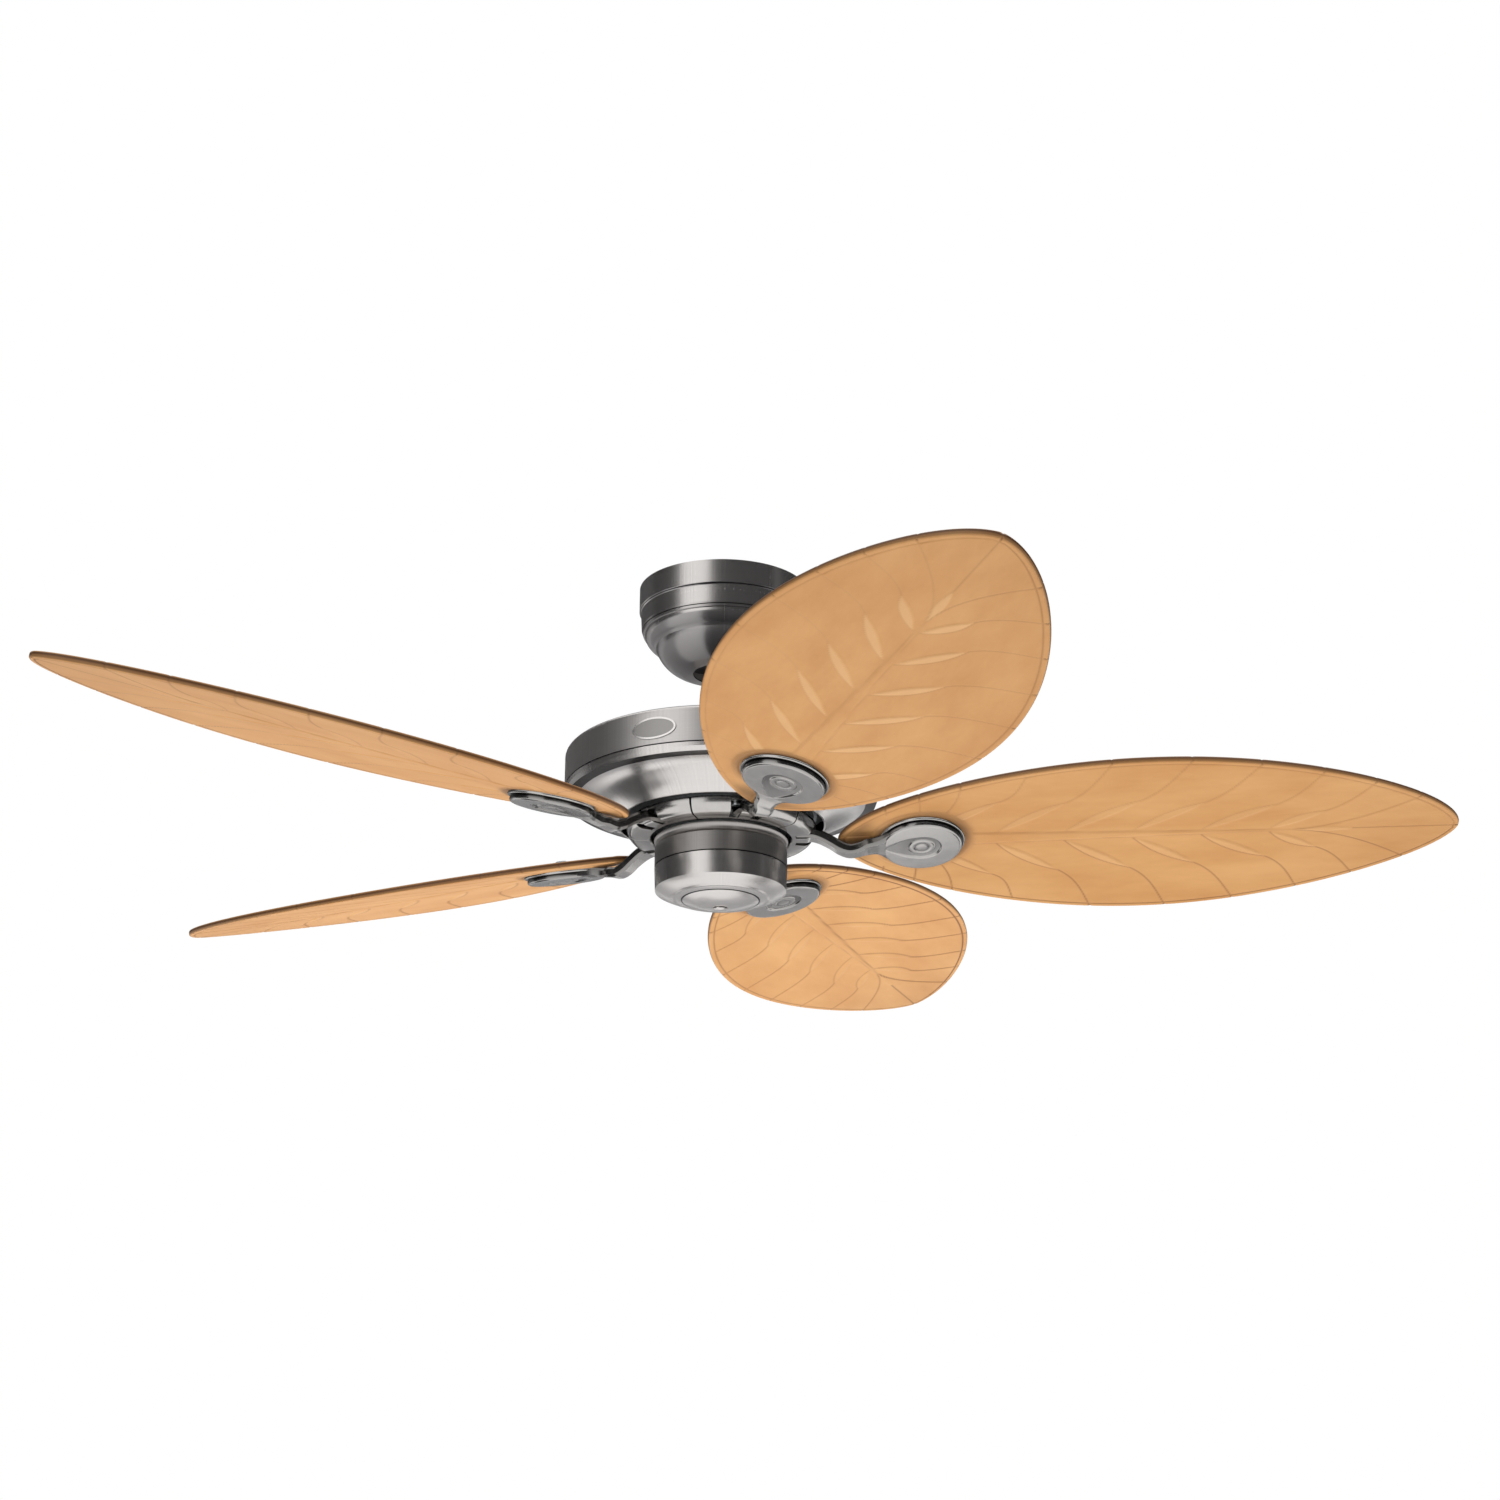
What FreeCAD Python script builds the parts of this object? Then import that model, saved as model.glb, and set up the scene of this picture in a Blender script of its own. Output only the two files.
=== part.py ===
import FreeCAD, Part
import math
import os

# Outdoor ceiling fan. Millimetres, +Z up, origin at the middle of the ceiling plane.
# Blade 1 points along +X, and the others follow anticlockwise seen from above.

# Room between pieces
overrun = 2.0
slip = 0.1
air = 0.3
running_gap = 0.05

# Canopy, a spun cup against the ceiling
canopy_radius = 80.0
canopy_height = 84.5
canopy_wall = 1.2
canopy_hole_radius = 28.0
canopy_groove_shares = ((1.0, 0.266), (0.981, 0.290), (0.970, 0.480), (0.952, 0.533), (0.933, 0.540))
canopy_bowl_shares = ((0.905, 0.610), (0.820, 0.675))
canopy_waist_shares = (0.795, 0.700)
canopy_foot_shares = ((0.706, 0.852), (0.500, 0.976))
canopy_screw_drop = 12.0
canopy_screw_angle = 150.0

# Hanger bracket on the outlet box
bracket_plate = 3.0
bracket_width = 36.0
bracket_length = 120.0
box_bolt_spacing = 88.9
box_slot_width = 5.2
box_slot_length = 12.0
bracket_wire_hole_radius = 9.0
bracket_leg_width = 26.0
cradle_margin = 16.0
ear_width = 16.0
ear_height = 18.0
ear_gap = 1.2

# Hanger ball, downrod and the pins through them
ball_radius = 27.0
ball_drop = 48.0
ball_top_share = 0.45
ball_bottom_share = 0.80
ball_seat_share = 0.74
rod_radius = 13.35
rod_wall = 2.8
rod_stand = 4.0
pin_radius = 3.0
pin_head_radius = 4.6
pin_head_height = 2.0
pin_end = 8.0
clip_wire_radius = 0.9
clip_reach_share = 1.5

# Coupling between the downrod and the motor, with its cover
coupling_height = 40.0
coupling_neck_radius = 20.0
coupling_flange_radius = 34.0
coupling_flange = 5.0
rod_engagement = 22.0
cover_radius = 44.0
cover_height = 47.0
cover_wall = 1.2
cover_rod_gap = 1.2
cover_profile_shares = ((0.93, 0.30), (0.74, 0.66), (0.42, 0.96))

# Motor housing
housing_drop = 168.4
housing_radius = 146.5
housing_wall = 1.5
housing_edge = 4.4
band_height = 34.8
band_groove = 0.8
bevel_height = 8.7
bevel_depth = 2.4
bell_height = 22.9
mouth_room = 9.0
bell_hollow_share = 0.115
pan_lip_height = 8.0
band_screw_angles = (45.0, 165.0, 285.0)

# Bare oval badge on the band
badge_width = 43.0
badge_height = 20.5
badge_thickness = 1.0
badge_rim = 1.8
badge_recess = 0.4
badge_seat_share = 0.001
badge_angle = 246.0

# Motor inside the housing
motor_room = 28.5
motor_top_gap = 4.1
bell_plate = 3.0
rotor_rim = 6.0
upper_rim_height = 10.0
ring_height = 16.0
ring_depth = 19.5
lower_rim_height = 6.0
rim_tap_share = 0.8
motor_air_gap = 0.5
stator_hub_radius = 26.0
stator_hub_relief = 4.5
winding_inner_share = 0.39
winding_outer_share = 0.763
winding_height = 5.5
shaft_radius = 7.5
shaft_bore_radius = 4.5
shoulder_radius = 10.0
bearing_radius = 17.5
bearing_width = 11.0
bearing_shield_depth = 0.5
bearing_ring_share = 0.8
bearing_boss_wall = 4.5
bearing_lip = 1.0
bearing_lip_radius = 12.5
lower_plate_rise = 9.0
rotor_bolt_count = 4
rotor_bolt_radius = 1.5

# Blade irons
blade_count = 5
iron_seat_gap = 0.2
ring_outer_radius = 88.1
ring_width = 21.6
ring_height_root = 11.3
ring_foot_inset = 8.1
ring_bulge_share = 0.93
ring_seam = 0.9
ring_edge = 1.2
boss_margin = 2.2
iron_flange = 4.0
notch_width = 9.5
notch_depth = 18.1
arm_root_width = 13.0
arm_neck_width = 23.0
arm_thickness = 9.0
arm_chamfer_share = 0.24
arm_bend_offset = 1.45
arm_bend_drop = 24.6
arm_root_drop = 6.2
arm_drop_shares = (0.06, 0.55)
arm_knee_share = 0.50
arm_climb_share = 0.5
arm_rise_share = 0.40
arm_swell_shares = (0.12, 0.42, 1.4)
arm_thin_shares = (0.96, 0.92, 0.6)
arm_twist_shares = (0.05, 0.25, 0.7)
disc_centre_radius = 186.0
disc_radius = 40.0
disc_flange = 2.6
disc_groove = 1.2
disc_groove_depth = 3.4
disc_face_radius = 37.4
disc_thickness = 8.2
disc_edge = 2.6
rosette_radius = 17.6
rosette_ring_radius = 10.7
rosette_button_radius = 6.5
rosette_relief = 0.9

# Blades
blade_sweep = 1371.6
blade_inner_radius = 108.4
blade_width = 249.0
blade_thickness = 6.0
blade_pitch = 14.5
blade_cone = 2.085
blade_camber_radius = 2260.0
blade_below_seat = 12.5
leaf_end_share = 0.6
leaf_swell_shares = (-0.009, -0.154, -0.023, 0.055)
leaf_outline_points = 36
blade_screw_circle = 22.0
blade_screw_count = 3
blade_hole_radius = 5.0
grommet_flange_radius = 7.2
grommet_flange = 1.2
blade_screw_depth = 5.0
blade_screw_head_share = 0.8

# Switch housing under the motor
switch_drop = 15.8
lip_radius = 62.2
lip_edge = 0.8
neck_depth = 2.2
neck_height = 8.4
neck_waist_share = 0.45
switch_radius = 61.4
switch_wall = 1.2
upper_switch_height = 26.6
switch_groove = 0.8
switch_lip_height = 7.0
lower_switch_height = 21.6
chamfer_height = 8.5
chamfer_swell = 0.8
cap_radius = 36.6
cap_flange = 3.4
cap_rise = 8.0
cap_wall = 1.4
cap_dome_share = 0.62
cap_hollow_share = 0.60
plug_radius = 7.0
plug_height = 2.6
plug_stem_radius = 3.0
plug_stem_length = 8.0
switch_flange = 13.0
switch_plate = 2.5
switch_plate_radius = 60.0
shaft_nut_flats = 22.0
shaft_nut_height = 6.0
side_screw_angles = (30.0, 150.0)

# Parts inside the switch housing
capacitor_length = 30.0
capacitor_width = 22.0
capacitor_height = 26.0
capacitor_offset = 14.0
reverse_body_width = 22.0
reverse_body_depth = 14.0
reverse_body_height = 11.0
slider_width = 6.0
slider_height = 3.4
slider_depth = 9.0
slider_stand = 2.4
slider_travel = 5.0

# Small screws
screw_radius = 2.0
screw_head_radius = 3.7
screw_head_height = 2.4
screw_slot_width = 0.9
screw_slot_depth = 1.2
screw_tail = 3.0
screw_crown_share = 0.85

UP = FreeCAD.Vector(0, 0, 1)
RADIAL = FreeCAD.Vector(1, 0, 0)
TANGENT = FreeCAD.Vector(0, 1, 0)
ORIGIN = FreeCAD.Vector(0, 0, 0)

# Levels below the ceiling that several pieces share
housing_top = -housing_drop
coupling_top = housing_top + coupling_height
rod_bottom = coupling_top - rod_engagement
band_bottom = housing_top - band_height
bevel_bottom = band_bottom - bevel_height
mouth_level = bevel_bottom - bell_height
motor_top = housing_top - housing_wall - motor_top_gap
ring_top = motor_top - upper_rim_height
ring_bottom = ring_top - ring_height
iron_seat = mouth_level - iron_seat_gap
lower_plate_bottom = iron_seat + lower_plate_rise
blade_seat = iron_seat - blade_below_seat
lip_level = iron_seat - switch_drop
switch_seam = lip_level - upper_switch_height
chamfer_level = switch_seam - lower_switch_height
cap_level = chamfer_level - chamfer_height
ball_level = -ball_drop
cradle_top = ball_level - ball_radius * math.sqrt(1 - ball_seat_share ** 2) - air
iron_spacing = 360.0 / blade_count

# Radii that follow a neighbouring piece
motor_radius = housing_radius - motor_room
winding_inner_radius = motor_radius * winding_inner_share
winding_outer_radius = motor_radius * winding_outer_share
mouth_radius = ring_outer_radius + mouth_room
ring_inner_radius = ring_outer_radius - ring_width
ring_foot_radius = ring_outer_radius - ring_foot_inset
notch_inner_radius = ring_outer_radius - notch_depth
arm_bend_radius = (ring_outer_radius + disc_centre_radius - disc_radius) / 2 + arm_bend_offset


def at(point):
    """A (radius, height) pair as a point of the XZ plane."""
    return FreeCAD.Vector(point[0], 0, point[1])


def chain(steps):
    """Edges along the steps: a step is a point, or a (middle, end) pair for an arc."""
    edges = []
    here = steps[0]
    for step in steps[1:]:
        if isinstance(step[0], tuple):
            middle, there = step
            edges.append(Part.Arc(at(here), at(middle), at(there)).toShape())
        else:
            there = step
            edges.append(Part.LineSegment(at(here), at(there)).toShape())
        here = there
    return edges


def last_point(steps):
    """The point where a chain of steps ends."""
    end = steps[-1]
    return end[1] if isinstance(end[0], tuple) else end


def turned(edges, sweep=360.0):
    """Solid turned about Z from a closed set of edges in the XZ plane."""
    face = Part.Face(Part.Wire(Part.__sortEdges__(edges)))
    solid = face.revolve(ORIGIN, UP, sweep)
    if solid.Volume < 0:
        solid.reverse()
    return solid


def turned_outline(steps, sweep=360.0):
    """Solid turned from one outline, closed by a line back to its start."""
    return turned(chain(list(steps) + [steps[0]]), sweep)


def dome_below(radius, level, depth):
    """Arc from a circle down to a low point on the axis, as its middle and end."""
    bend = (radius ** 2 + depth ** 2) / (2 * depth)
    half_turn = math.asin(radius / bend) / 2
    centre = level - depth + bend
    middle = (bend * math.sin(half_turn), centre - bend * math.cos(half_turn))
    return (middle, (0, level - depth))


def moved(point, shift):
    """A (radius, height) pair moved by another."""
    return (point[0] + shift[0], point[1] + shift[1])


def turned_shell(steps, first, middle, last):
    """Sheet turned from an outer chain and the same chain moved inwards by the shifts."""
    inner = []
    for place, step in enumerate(steps):
        shift = middle
        if place == 0:
            shift = first
        if place == len(steps) - 1:
            shift = last
        if isinstance(step[0], tuple):
            inner.append((moved(step[0], middle), moved(step[1], shift)))
        else:
            inner.append(moved(step, shift))
    ends = chain([steps[0], inner[0]]) + chain([last_point(steps), last_point(inner)])
    return turned(chain(steps) + chain(inner) + ends)


def rod(radius, low, high):
    """Upright cylinder on the axis between two levels."""
    return Part.makeCylinder(radius, high - low, at((0, low)))


def tube(outer, inner, low, high):
    """Upright tube on the axis between two levels."""
    return rod(outer, low, high).cut(rod(inner, low - overrun, high + overrun))


def block(x_low, x_high, y_low, y_high, z_low, z_high):
    """Box between two corners."""
    corner = FreeCAD.Vector(x_low, y_low, z_low)
    return Part.makeBox(x_high - x_low, y_high - y_low, z_high - z_low, corner)


def spun(shape, angle):
    """A copy turned about the fan's axis."""
    copy = shape.copy()
    copy.rotate(ORIGIN, UP, angle)
    return copy


def screw(length, head_radius=screw_head_radius, radius=screw_radius):
    """Slotted pan-head screw along -Z, its head standing on the XY plane."""
    crown = head_radius * math.sqrt(0.5)
    flat = head_radius / 2
    head = turned_outline([
        (0, 0),
        (head_radius, 0),
        (head_radius, screw_head_height / 2),
        ((crown + (head_radius - crown) / 2, screw_head_height * screw_crown_share), (flat, screw_head_height)),
        (0, screw_head_height),
    ])
    slot = block(
        -head_radius, head_radius, -screw_slot_width / 2, screw_slot_width / 2,
        screw_head_height - screw_slot_depth, screw_head_height + overrun,
    )
    shank = rod(radius, -length, 0)
    return head.cut(slot).fuse(shank).removeSplitter()


def placed(shape, base, direction):
    """A copy moved to a point, with its +Z along a direction."""
    copy = shape.copy()
    copy.Placement = FreeCAD.Placement(base, FreeCAD.Rotation(UP, direction))
    return copy


def side_screws(length, radius, level, angles):
    """Screws that enter a round wall towards the axis, one at each angle."""
    one = placed(screw(length), FreeCAD.Vector(radius, 0, level), RADIAL)
    return [spun(one, angle) for angle in angles]


def side_holes(radius, level, angles, hole_radius):
    """Drills through a round wall, one at each angle, from the axis outwards."""
    reach = radius + screw_head_height
    start = FreeCAD.Vector(radius / 2, 0, level)
    one = Part.makeCylinder(hole_radius, reach - radius / 2, start, RADIAL)
    return [spun(one, angle) for angle in angles]


def blade_frame(index):
    """Frame of a blade: origin on its underside over the iron's disc, X outwards, Z off the blade."""
    tilt = FreeCAD.Rotation(RADIAL, -blade_pitch)
    rise = FreeCAD.Rotation(TANGENT, -blade_cone)
    spin = FreeCAD.Rotation(UP, index * iron_spacing)
    base = spin.multVec(at((disc_centre_radius, blade_seat)))
    return FreeCAD.Placement(base, spin * rise * tilt)


def in_blade_frame(shape, index):
    """A copy of a shape drawn in a blade's own frame, put where that blade is."""
    copy = shape.copy()
    copy.Placement = blade_frame(index).multiply(copy.Placement)
    return copy


def canopy_steps():
    """Outside of the canopy from the ceiling down to the rod hole."""
    def share(pair):
        return (pair[0] * canopy_radius, -pair[1] * canopy_height)
    steps = [(canopy_radius, 0)]
    steps += [share(pair) for pair in canopy_groove_shares]
    steps.append((share(canopy_bowl_shares[0]), share(canopy_bowl_shares[1])))
    steps.append(share(canopy_waist_shares))
    steps.append((share(canopy_foot_shares[0]), share(canopy_foot_shares[1])))
    steps.append((canopy_hole_radius, -canopy_height))
    return steps


def canopy_angles():
    """Directions of the two canopy screws."""
    return (canopy_screw_angle, canopy_screw_angle + 180.0)


def canopy():
    """Canopy shell with the holes of its two screws."""
    shell = turned_shell(
        canopy_steps(), (-canopy_wall, 0), (-canopy_wall, canopy_wall), (0, canopy_wall),
    )
    return shell.cut(side_holes(canopy_radius, -canopy_screw_drop, canopy_angles(), screw_radius + slip))


def ear_face():
    """Distance of the bracket's ears from the axis."""
    return canopy_radius - canopy_wall - ear_gap


def canopy_screws():
    """Screws through the canopy's side into the bracket's ears."""
    length = canopy_radius - ear_face() + bracket_plate + screw_tail
    return Part.makeCompound(side_screws(length, canopy_radius, -canopy_screw_drop, canopy_angles()))


def box_slot(centre):
    """Slot for one bolt of the outlet box, along X."""
    half = (box_slot_length - box_slot_width) / 2
    radius = box_slot_width / 2
    low = -bracket_plate - overrun
    depth = bracket_plate + 2 * overrun
    ends = [Part.makeCylinder(radius, depth, at((centre + side * half, low))) for side in (-1, 1)]
    middle = block(centre - half, centre + half, -radius, radius, low, low + depth)
    return middle.fuse(ends)


def hanger_bracket():
    """Pressed bracket: bar with bolt slots, two legs, open cradle for the ball, ears for the canopy."""
    leg_inner = ball_radius + cradle_margin / 2
    leg_outer = leg_inner + bracket_plate
    bar = block(
        -bracket_length / 2, bracket_length / 2, -bracket_width / 2, bracket_width / 2, -bracket_plate, 0,
    )
    legs = []
    for side in (0.0, 180.0):
        leg = block(
            leg_inner, leg_outer, -bracket_leg_width / 2, bracket_leg_width / 2,
            cradle_top - bracket_plate, 0,
        )
        legs.append(spun(leg, side))
    seat_radius = ball_radius * ball_seat_share
    cradle = rod(ball_radius + cradle_margin, cradle_top - bracket_plate, cradle_top)
    entry = block(
        -rod_radius - overrun, rod_radius + overrun, 0, ball_radius + cradle_margin + overrun,
        cradle_top - bracket_plate - overrun, cradle_top + overrun,
    )
    strap = block(
        -ear_face(), ear_face(), -ear_width / 2, ear_width / 2, -bracket_plate, 0,
    )
    ears = []
    for side in (0.0, 180.0):
        ear = block(ear_face() - bracket_plate, ear_face(), -ear_width / 2, ear_width / 2, -ear_height, 0)
        ears.append(spun(ear, side))
    ear_strap = spun(strap.fuse(ears), canopy_screw_angle)
    bracket = bar.fuse(legs + [cradle, ear_strap])
    cuts = [box_slot(side * box_bolt_spacing / 2) for side in (-1, 1)]
    cuts.append(rod(bracket_wire_hole_radius, -bracket_plate - overrun, overrun))
    cuts.append(rod(seat_radius, cradle_top - bracket_plate - overrun, cradle_top + overrun))
    cuts.append(entry)
    cuts += side_holes(ear_face(), -canopy_screw_drop, canopy_angles(), screw_radius + slip)
    return bracket.cut(cuts).removeSplitter()


def cross_pin(level, half_length):
    """Hole or pin across the axis along X."""
    return Part.makeCylinder(pin_radius, 2 * half_length, FreeCAD.Vector(-half_length, 0, level), RADIAL)


def cross_hole(level, half_length):
    """Clearance hole for a pin across the axis along X."""
    start = FreeCAD.Vector(-half_length, 0, level)
    return Part.makeCylinder(pin_radius + slip, 2 * half_length, start, RADIAL)


def hanger_ball():
    """Ball cut flat above and below, bored for the rod and its pin."""
    sphere = Part.makeSphere(ball_radius, at((0, ball_level)))
    low = ball_level - ball_radius * ball_bottom_share
    high = ball_level + ball_radius * ball_top_share
    trimmed = sphere.common(rod(ball_radius + overrun, low, high))
    bore = rod(rod_radius + slip, low - overrun, high + overrun)
    return trimmed.cut([bore, cross_hole(ball_level, ball_radius + overrun)])


def ball_pin():
    """Pin that locks the ball to the rod, short of the ball's surface."""
    return cross_pin(ball_level, ball_radius - overrun)


def coupling_pin_level():
    """Height of the pin through the coupling."""
    return (coupling_top + rod_bottom) / 2


def downrod():
    """Pipe from the hanger ball to the coupling, with a pin hole at each end."""
    top = ball_level + ball_radius * ball_top_share + rod_stand
    pipe = tube(rod_radius, rod_radius - rod_wall, rod_bottom, top)
    holes = [cross_hole(level, rod_radius + overrun) for level in (ball_level, coupling_pin_level())]
    return pipe.cut(holes)


def set_screw_level():
    """Height of the coupling's set screws, between its pin and its top."""
    return (coupling_pin_level() + coupling_top) / 2 + pin_radius / 2


def coupling():
    """Cast collar that joins the rod to the motor shaft, with a flange on the housing."""
    body = turned_outline([
        (shaft_radius + slip, housing_top),
        (coupling_flange_radius, housing_top),
        (coupling_flange_radius, housing_top + coupling_flange),
        (coupling_neck_radius + coupling_flange / 2, housing_top + coupling_flange),
        (coupling_neck_radius, housing_top + 2 * coupling_flange),
        (coupling_neck_radius, coupling_top),
        (rod_radius + slip, coupling_top),
        (rod_radius + slip, rod_bottom),
        (shaft_radius + slip, rod_bottom),
    ])
    cuts = [cross_hole(coupling_pin_level(), coupling_neck_radius + overrun)]
    drill = Part.makeCylinder(
        screw_radius + slip, 2 * (coupling_neck_radius + overrun),
        FreeCAD.Vector(0, -coupling_neck_radius - overrun, set_screw_level()), TANGENT,
    )
    cuts.append(drill)
    for shaft in housing_screw_places():
        cuts.append(Part.makeCylinder(
            screw_radius + slip, coupling_flange + 2 * overrun,
            shaft - UP * (coupling_flange + overrun),
        ))
    return body.cut(cuts)


def housing_screw_places():
    """Seats of the screws that hold the housing to the coupling's flange."""
    circle = (coupling_flange_radius + coupling_neck_radius + coupling_flange / 2) / 2
    top = housing_top + coupling_flange
    turns = [120.0 * step + 30.0 for step in range(3)]
    return [spun(Part.Vertex(at((circle, top))), turn).Point for turn in turns]


def housing_screws():
    """Screws down through the coupling's flange and the housing's top."""
    one = screw(coupling_flange + housing_wall + motor_top_gap / 2)
    return Part.makeCompound([placed(one, place, UP) for place in housing_screw_places()])


def coupling_pin():
    """Headed pin through the coupling and the rod, drilled for its clip."""
    half = coupling_neck_radius + pin_end
    level = coupling_pin_level()
    head_start = FreeCAD.Vector(-coupling_neck_radius - air, 0, level)
    head = Part.makeCylinder(pin_head_radius, pin_head_height, head_start, -RADIAL)
    shank = Part.makeCylinder(
        pin_radius, half + coupling_neck_radius + air, head_start, RADIAL,
    )
    hole = Part.makeCylinder(
        clip_wire_radius + slip, 2 * pin_head_radius, clip_place() - UP * pin_head_radius,
    )
    return head.fuse(shank).cut(hole).removeSplitter()


def clip_place():
    """Middle of the clip's hole in the coupling pin."""
    return FreeCAD.Vector(coupling_neck_radius + pin_end / 2, 0, coupling_pin_level())


def pin_clip():
    """Cotter through the pin's end, with a ring under it."""
    place = clip_place()
    reach = clip_reach_share * pin_radius
    leg = Part.makeCylinder(clip_wire_radius, 2 * reach, place - UP * reach)
    ring = Part.makeTorus(
        2 * clip_wire_radius, clip_wire_radius,
        place - UP * (reach + 2 * clip_wire_radius), TANGENT,
    )
    return leg.fuse(ring)


def coupling_set_screws():
    """Headless screws that bear on the rod from both sides."""
    length = coupling_neck_radius - rod_radius - slip
    grub = rod(screw_radius, 0, length)
    slot = block(
        -screw_radius, screw_radius, -screw_slot_width / 2, screw_slot_width / 2,
        length - screw_slot_depth, length + overrun,
    )
    one = grub.cut(slot)
    screws = []
    for side in (-1, 1):
        start = FreeCAD.Vector(0, side * (rod_radius + slip), set_screw_level())
        screws.append(placed(one, start, TANGENT * side))
    return Part.makeCompound(screws)


def coupling_cover():
    """Bell-shaped cover that stands on the housing and hides the coupling."""
    steps = [(cover_radius, housing_top)]
    low, middle, high = [
        (r * cover_radius, housing_top + h * cover_height) for r, h in cover_profile_shares
    ]
    steps += [low, (middle, high), (rod_radius + cover_rod_gap, housing_top + cover_height)]
    return turned_shell(steps, (-cover_wall, 0), (-cover_wall, -cover_wall), (0, -cover_wall))


def upper_housing():
    """Flat-topped band of the motor housing."""
    corner = housing_radius - housing_edge
    bend = housing_edge * (1 - math.sqrt(0.5))
    steps = [
        (shaft_radius + air, housing_top),
        (corner, housing_top),
        ((housing_radius - bend, housing_top - bend), (housing_radius, housing_top - housing_edge)),
        (housing_radius, band_bottom),
    ]
    shell = turned_shell(
        steps, (0, -housing_wall), (-housing_wall, -housing_wall), (-housing_wall, 0),
    )
    cuts = side_holes(housing_radius, band_screw_level(), band_screw_angles, screw_radius + slip)
    for place in housing_screw_places():
        depth = coupling_flange + housing_wall + overrun
        cuts.append(Part.makeCylinder(screw_radius + slip, depth, place - UP * depth))
    return shell.cut(cuts)


def band_screw_level():
    """Height of the screws through the band into the lower housing's lip."""
    return band_bottom + pan_lip_height / 2


def bell_curve():
    """Hollow curve of the lower housing, as an arc's middle and end."""
    start = (housing_radius - bevel_depth, bevel_bottom)
    end = (mouth_radius, mouth_level)
    run = (end[0] - start[0], end[1] - start[1])
    middle = (
        (start[0] + end[0]) / 2 + run[1] * bell_hollow_share,
        (start[1] + end[1]) / 2 - run[0] * bell_hollow_share,
    )
    return (middle, end)


def lower_housing():
    """Lower half of the housing: lip inside the band, bevel and hollow bell to a wide mouth."""
    lip = housing_radius - housing_wall - air
    bevel = (housing_radius - bevel_depth, bevel_bottom)
    middle, end = bell_curve()
    outer = [
        (lip, band_bottom + pan_lip_height),
        (lip, band_bottom),
        (housing_radius - band_groove, band_bottom),
        (housing_radius, band_bottom - band_groove),
        (housing_radius - bevel_depth / 3, band_bottom - bevel_height / 2),
        bevel,
        (middle, end),
    ]
    thick = (-housing_wall, housing_wall)
    inner = [
        (lip - housing_wall, band_bottom + pan_lip_height),
        moved(bevel, thick),
        (moved(middle, thick), moved(end, (-housing_wall, 0))),
    ]
    ends = chain([outer[0], inner[0]]) + chain([end, last_point(inner)])
    pan = turned(chain(outer) + chain(inner) + ends)
    return pan.cut(side_holes(housing_radius, band_screw_level(), band_screw_angles, screw_radius))


def band_screws():
    """Screws through the band into the lower housing's lip."""
    length = 2 * housing_wall + air + screw_tail
    return Part.makeCompound(side_screws(length, housing_radius, band_screw_level(), band_screw_angles))


def oval(width, height, level, near, far):
    """Oval prism across the XZ plane's normal, along X between two distances."""
    long_half = max(width, height) / 2
    short_half = min(width, height) / 2
    ellipse = Part.Ellipse(ORIGIN, long_half, short_half).toShape()
    face = Part.Face(Part.Wire(ellipse))
    prism = face.extrude(UP * (far - near))
    across = FreeCAD.Rotation(TANGENT, -UP, RADIAL, "ZXY")
    prism.Placement = FreeCAD.Placement(FreeCAD.Vector(near, 0, level), across)
    return prism


def oval_badge():
    """Bare oval plate on the band, with a raised rim."""
    level = (housing_top - housing_edge + band_bottom) / 2
    near = housing_radius / 2
    far = housing_radius + badge_thickness + overrun
    low = band_bottom
    seat = housing_radius * (1 + badge_seat_share)
    skin = tube(housing_radius + badge_thickness, seat, low, housing_top)
    hollow = tube(
        housing_radius + badge_thickness + overrun, housing_radius + badge_thickness - badge_recess,
        low, housing_top,
    )
    plate = oval(badge_width, badge_height, level, near, far).common(skin)
    inside = oval(badge_width - 2 * badge_rim, badge_height - 2 * badge_rim, level, near, far)
    return spun(plate.cut(inside.common(hollow)), badge_angle)


def rotor_bolt_circle():
    """Radius of the circle of rotor bolts."""
    return motor_radius - rotor_rim / 2


def rotor_drills(radius, low, high):
    """Drills for the rotor bolts between two levels."""
    one = Part.makeCylinder(radius, high - low, at((rotor_bolt_circle(), low)))
    return [spun(one, 360.0 * step / rotor_bolt_count) for step in range(rotor_bolt_count)]


def upper_bell():
    """Upper cover of the rotor, with the upper bearing's seat."""
    boss = bearing_radius + bearing_boss_wall
    seat_bottom = motor_top - bearing_lip - bearing_width
    bell = turned_outline([
        (bearing_lip_radius, motor_top),
        (motor_radius, motor_top),
        (motor_radius, ring_top),
        (motor_radius - rotor_rim, ring_top),
        (motor_radius - rotor_rim, motor_top - bell_plate),
        (boss, motor_top - bell_plate),
        (boss, seat_bottom),
        (bearing_radius, seat_bottom),
        (bearing_radius, motor_top - bearing_lip),
        (bearing_lip_radius, motor_top - bearing_lip),
    ])
    return bell.cut(rotor_drills(rotor_bolt_radius + slip, ring_top - overrun, motor_top + overrun))


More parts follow.
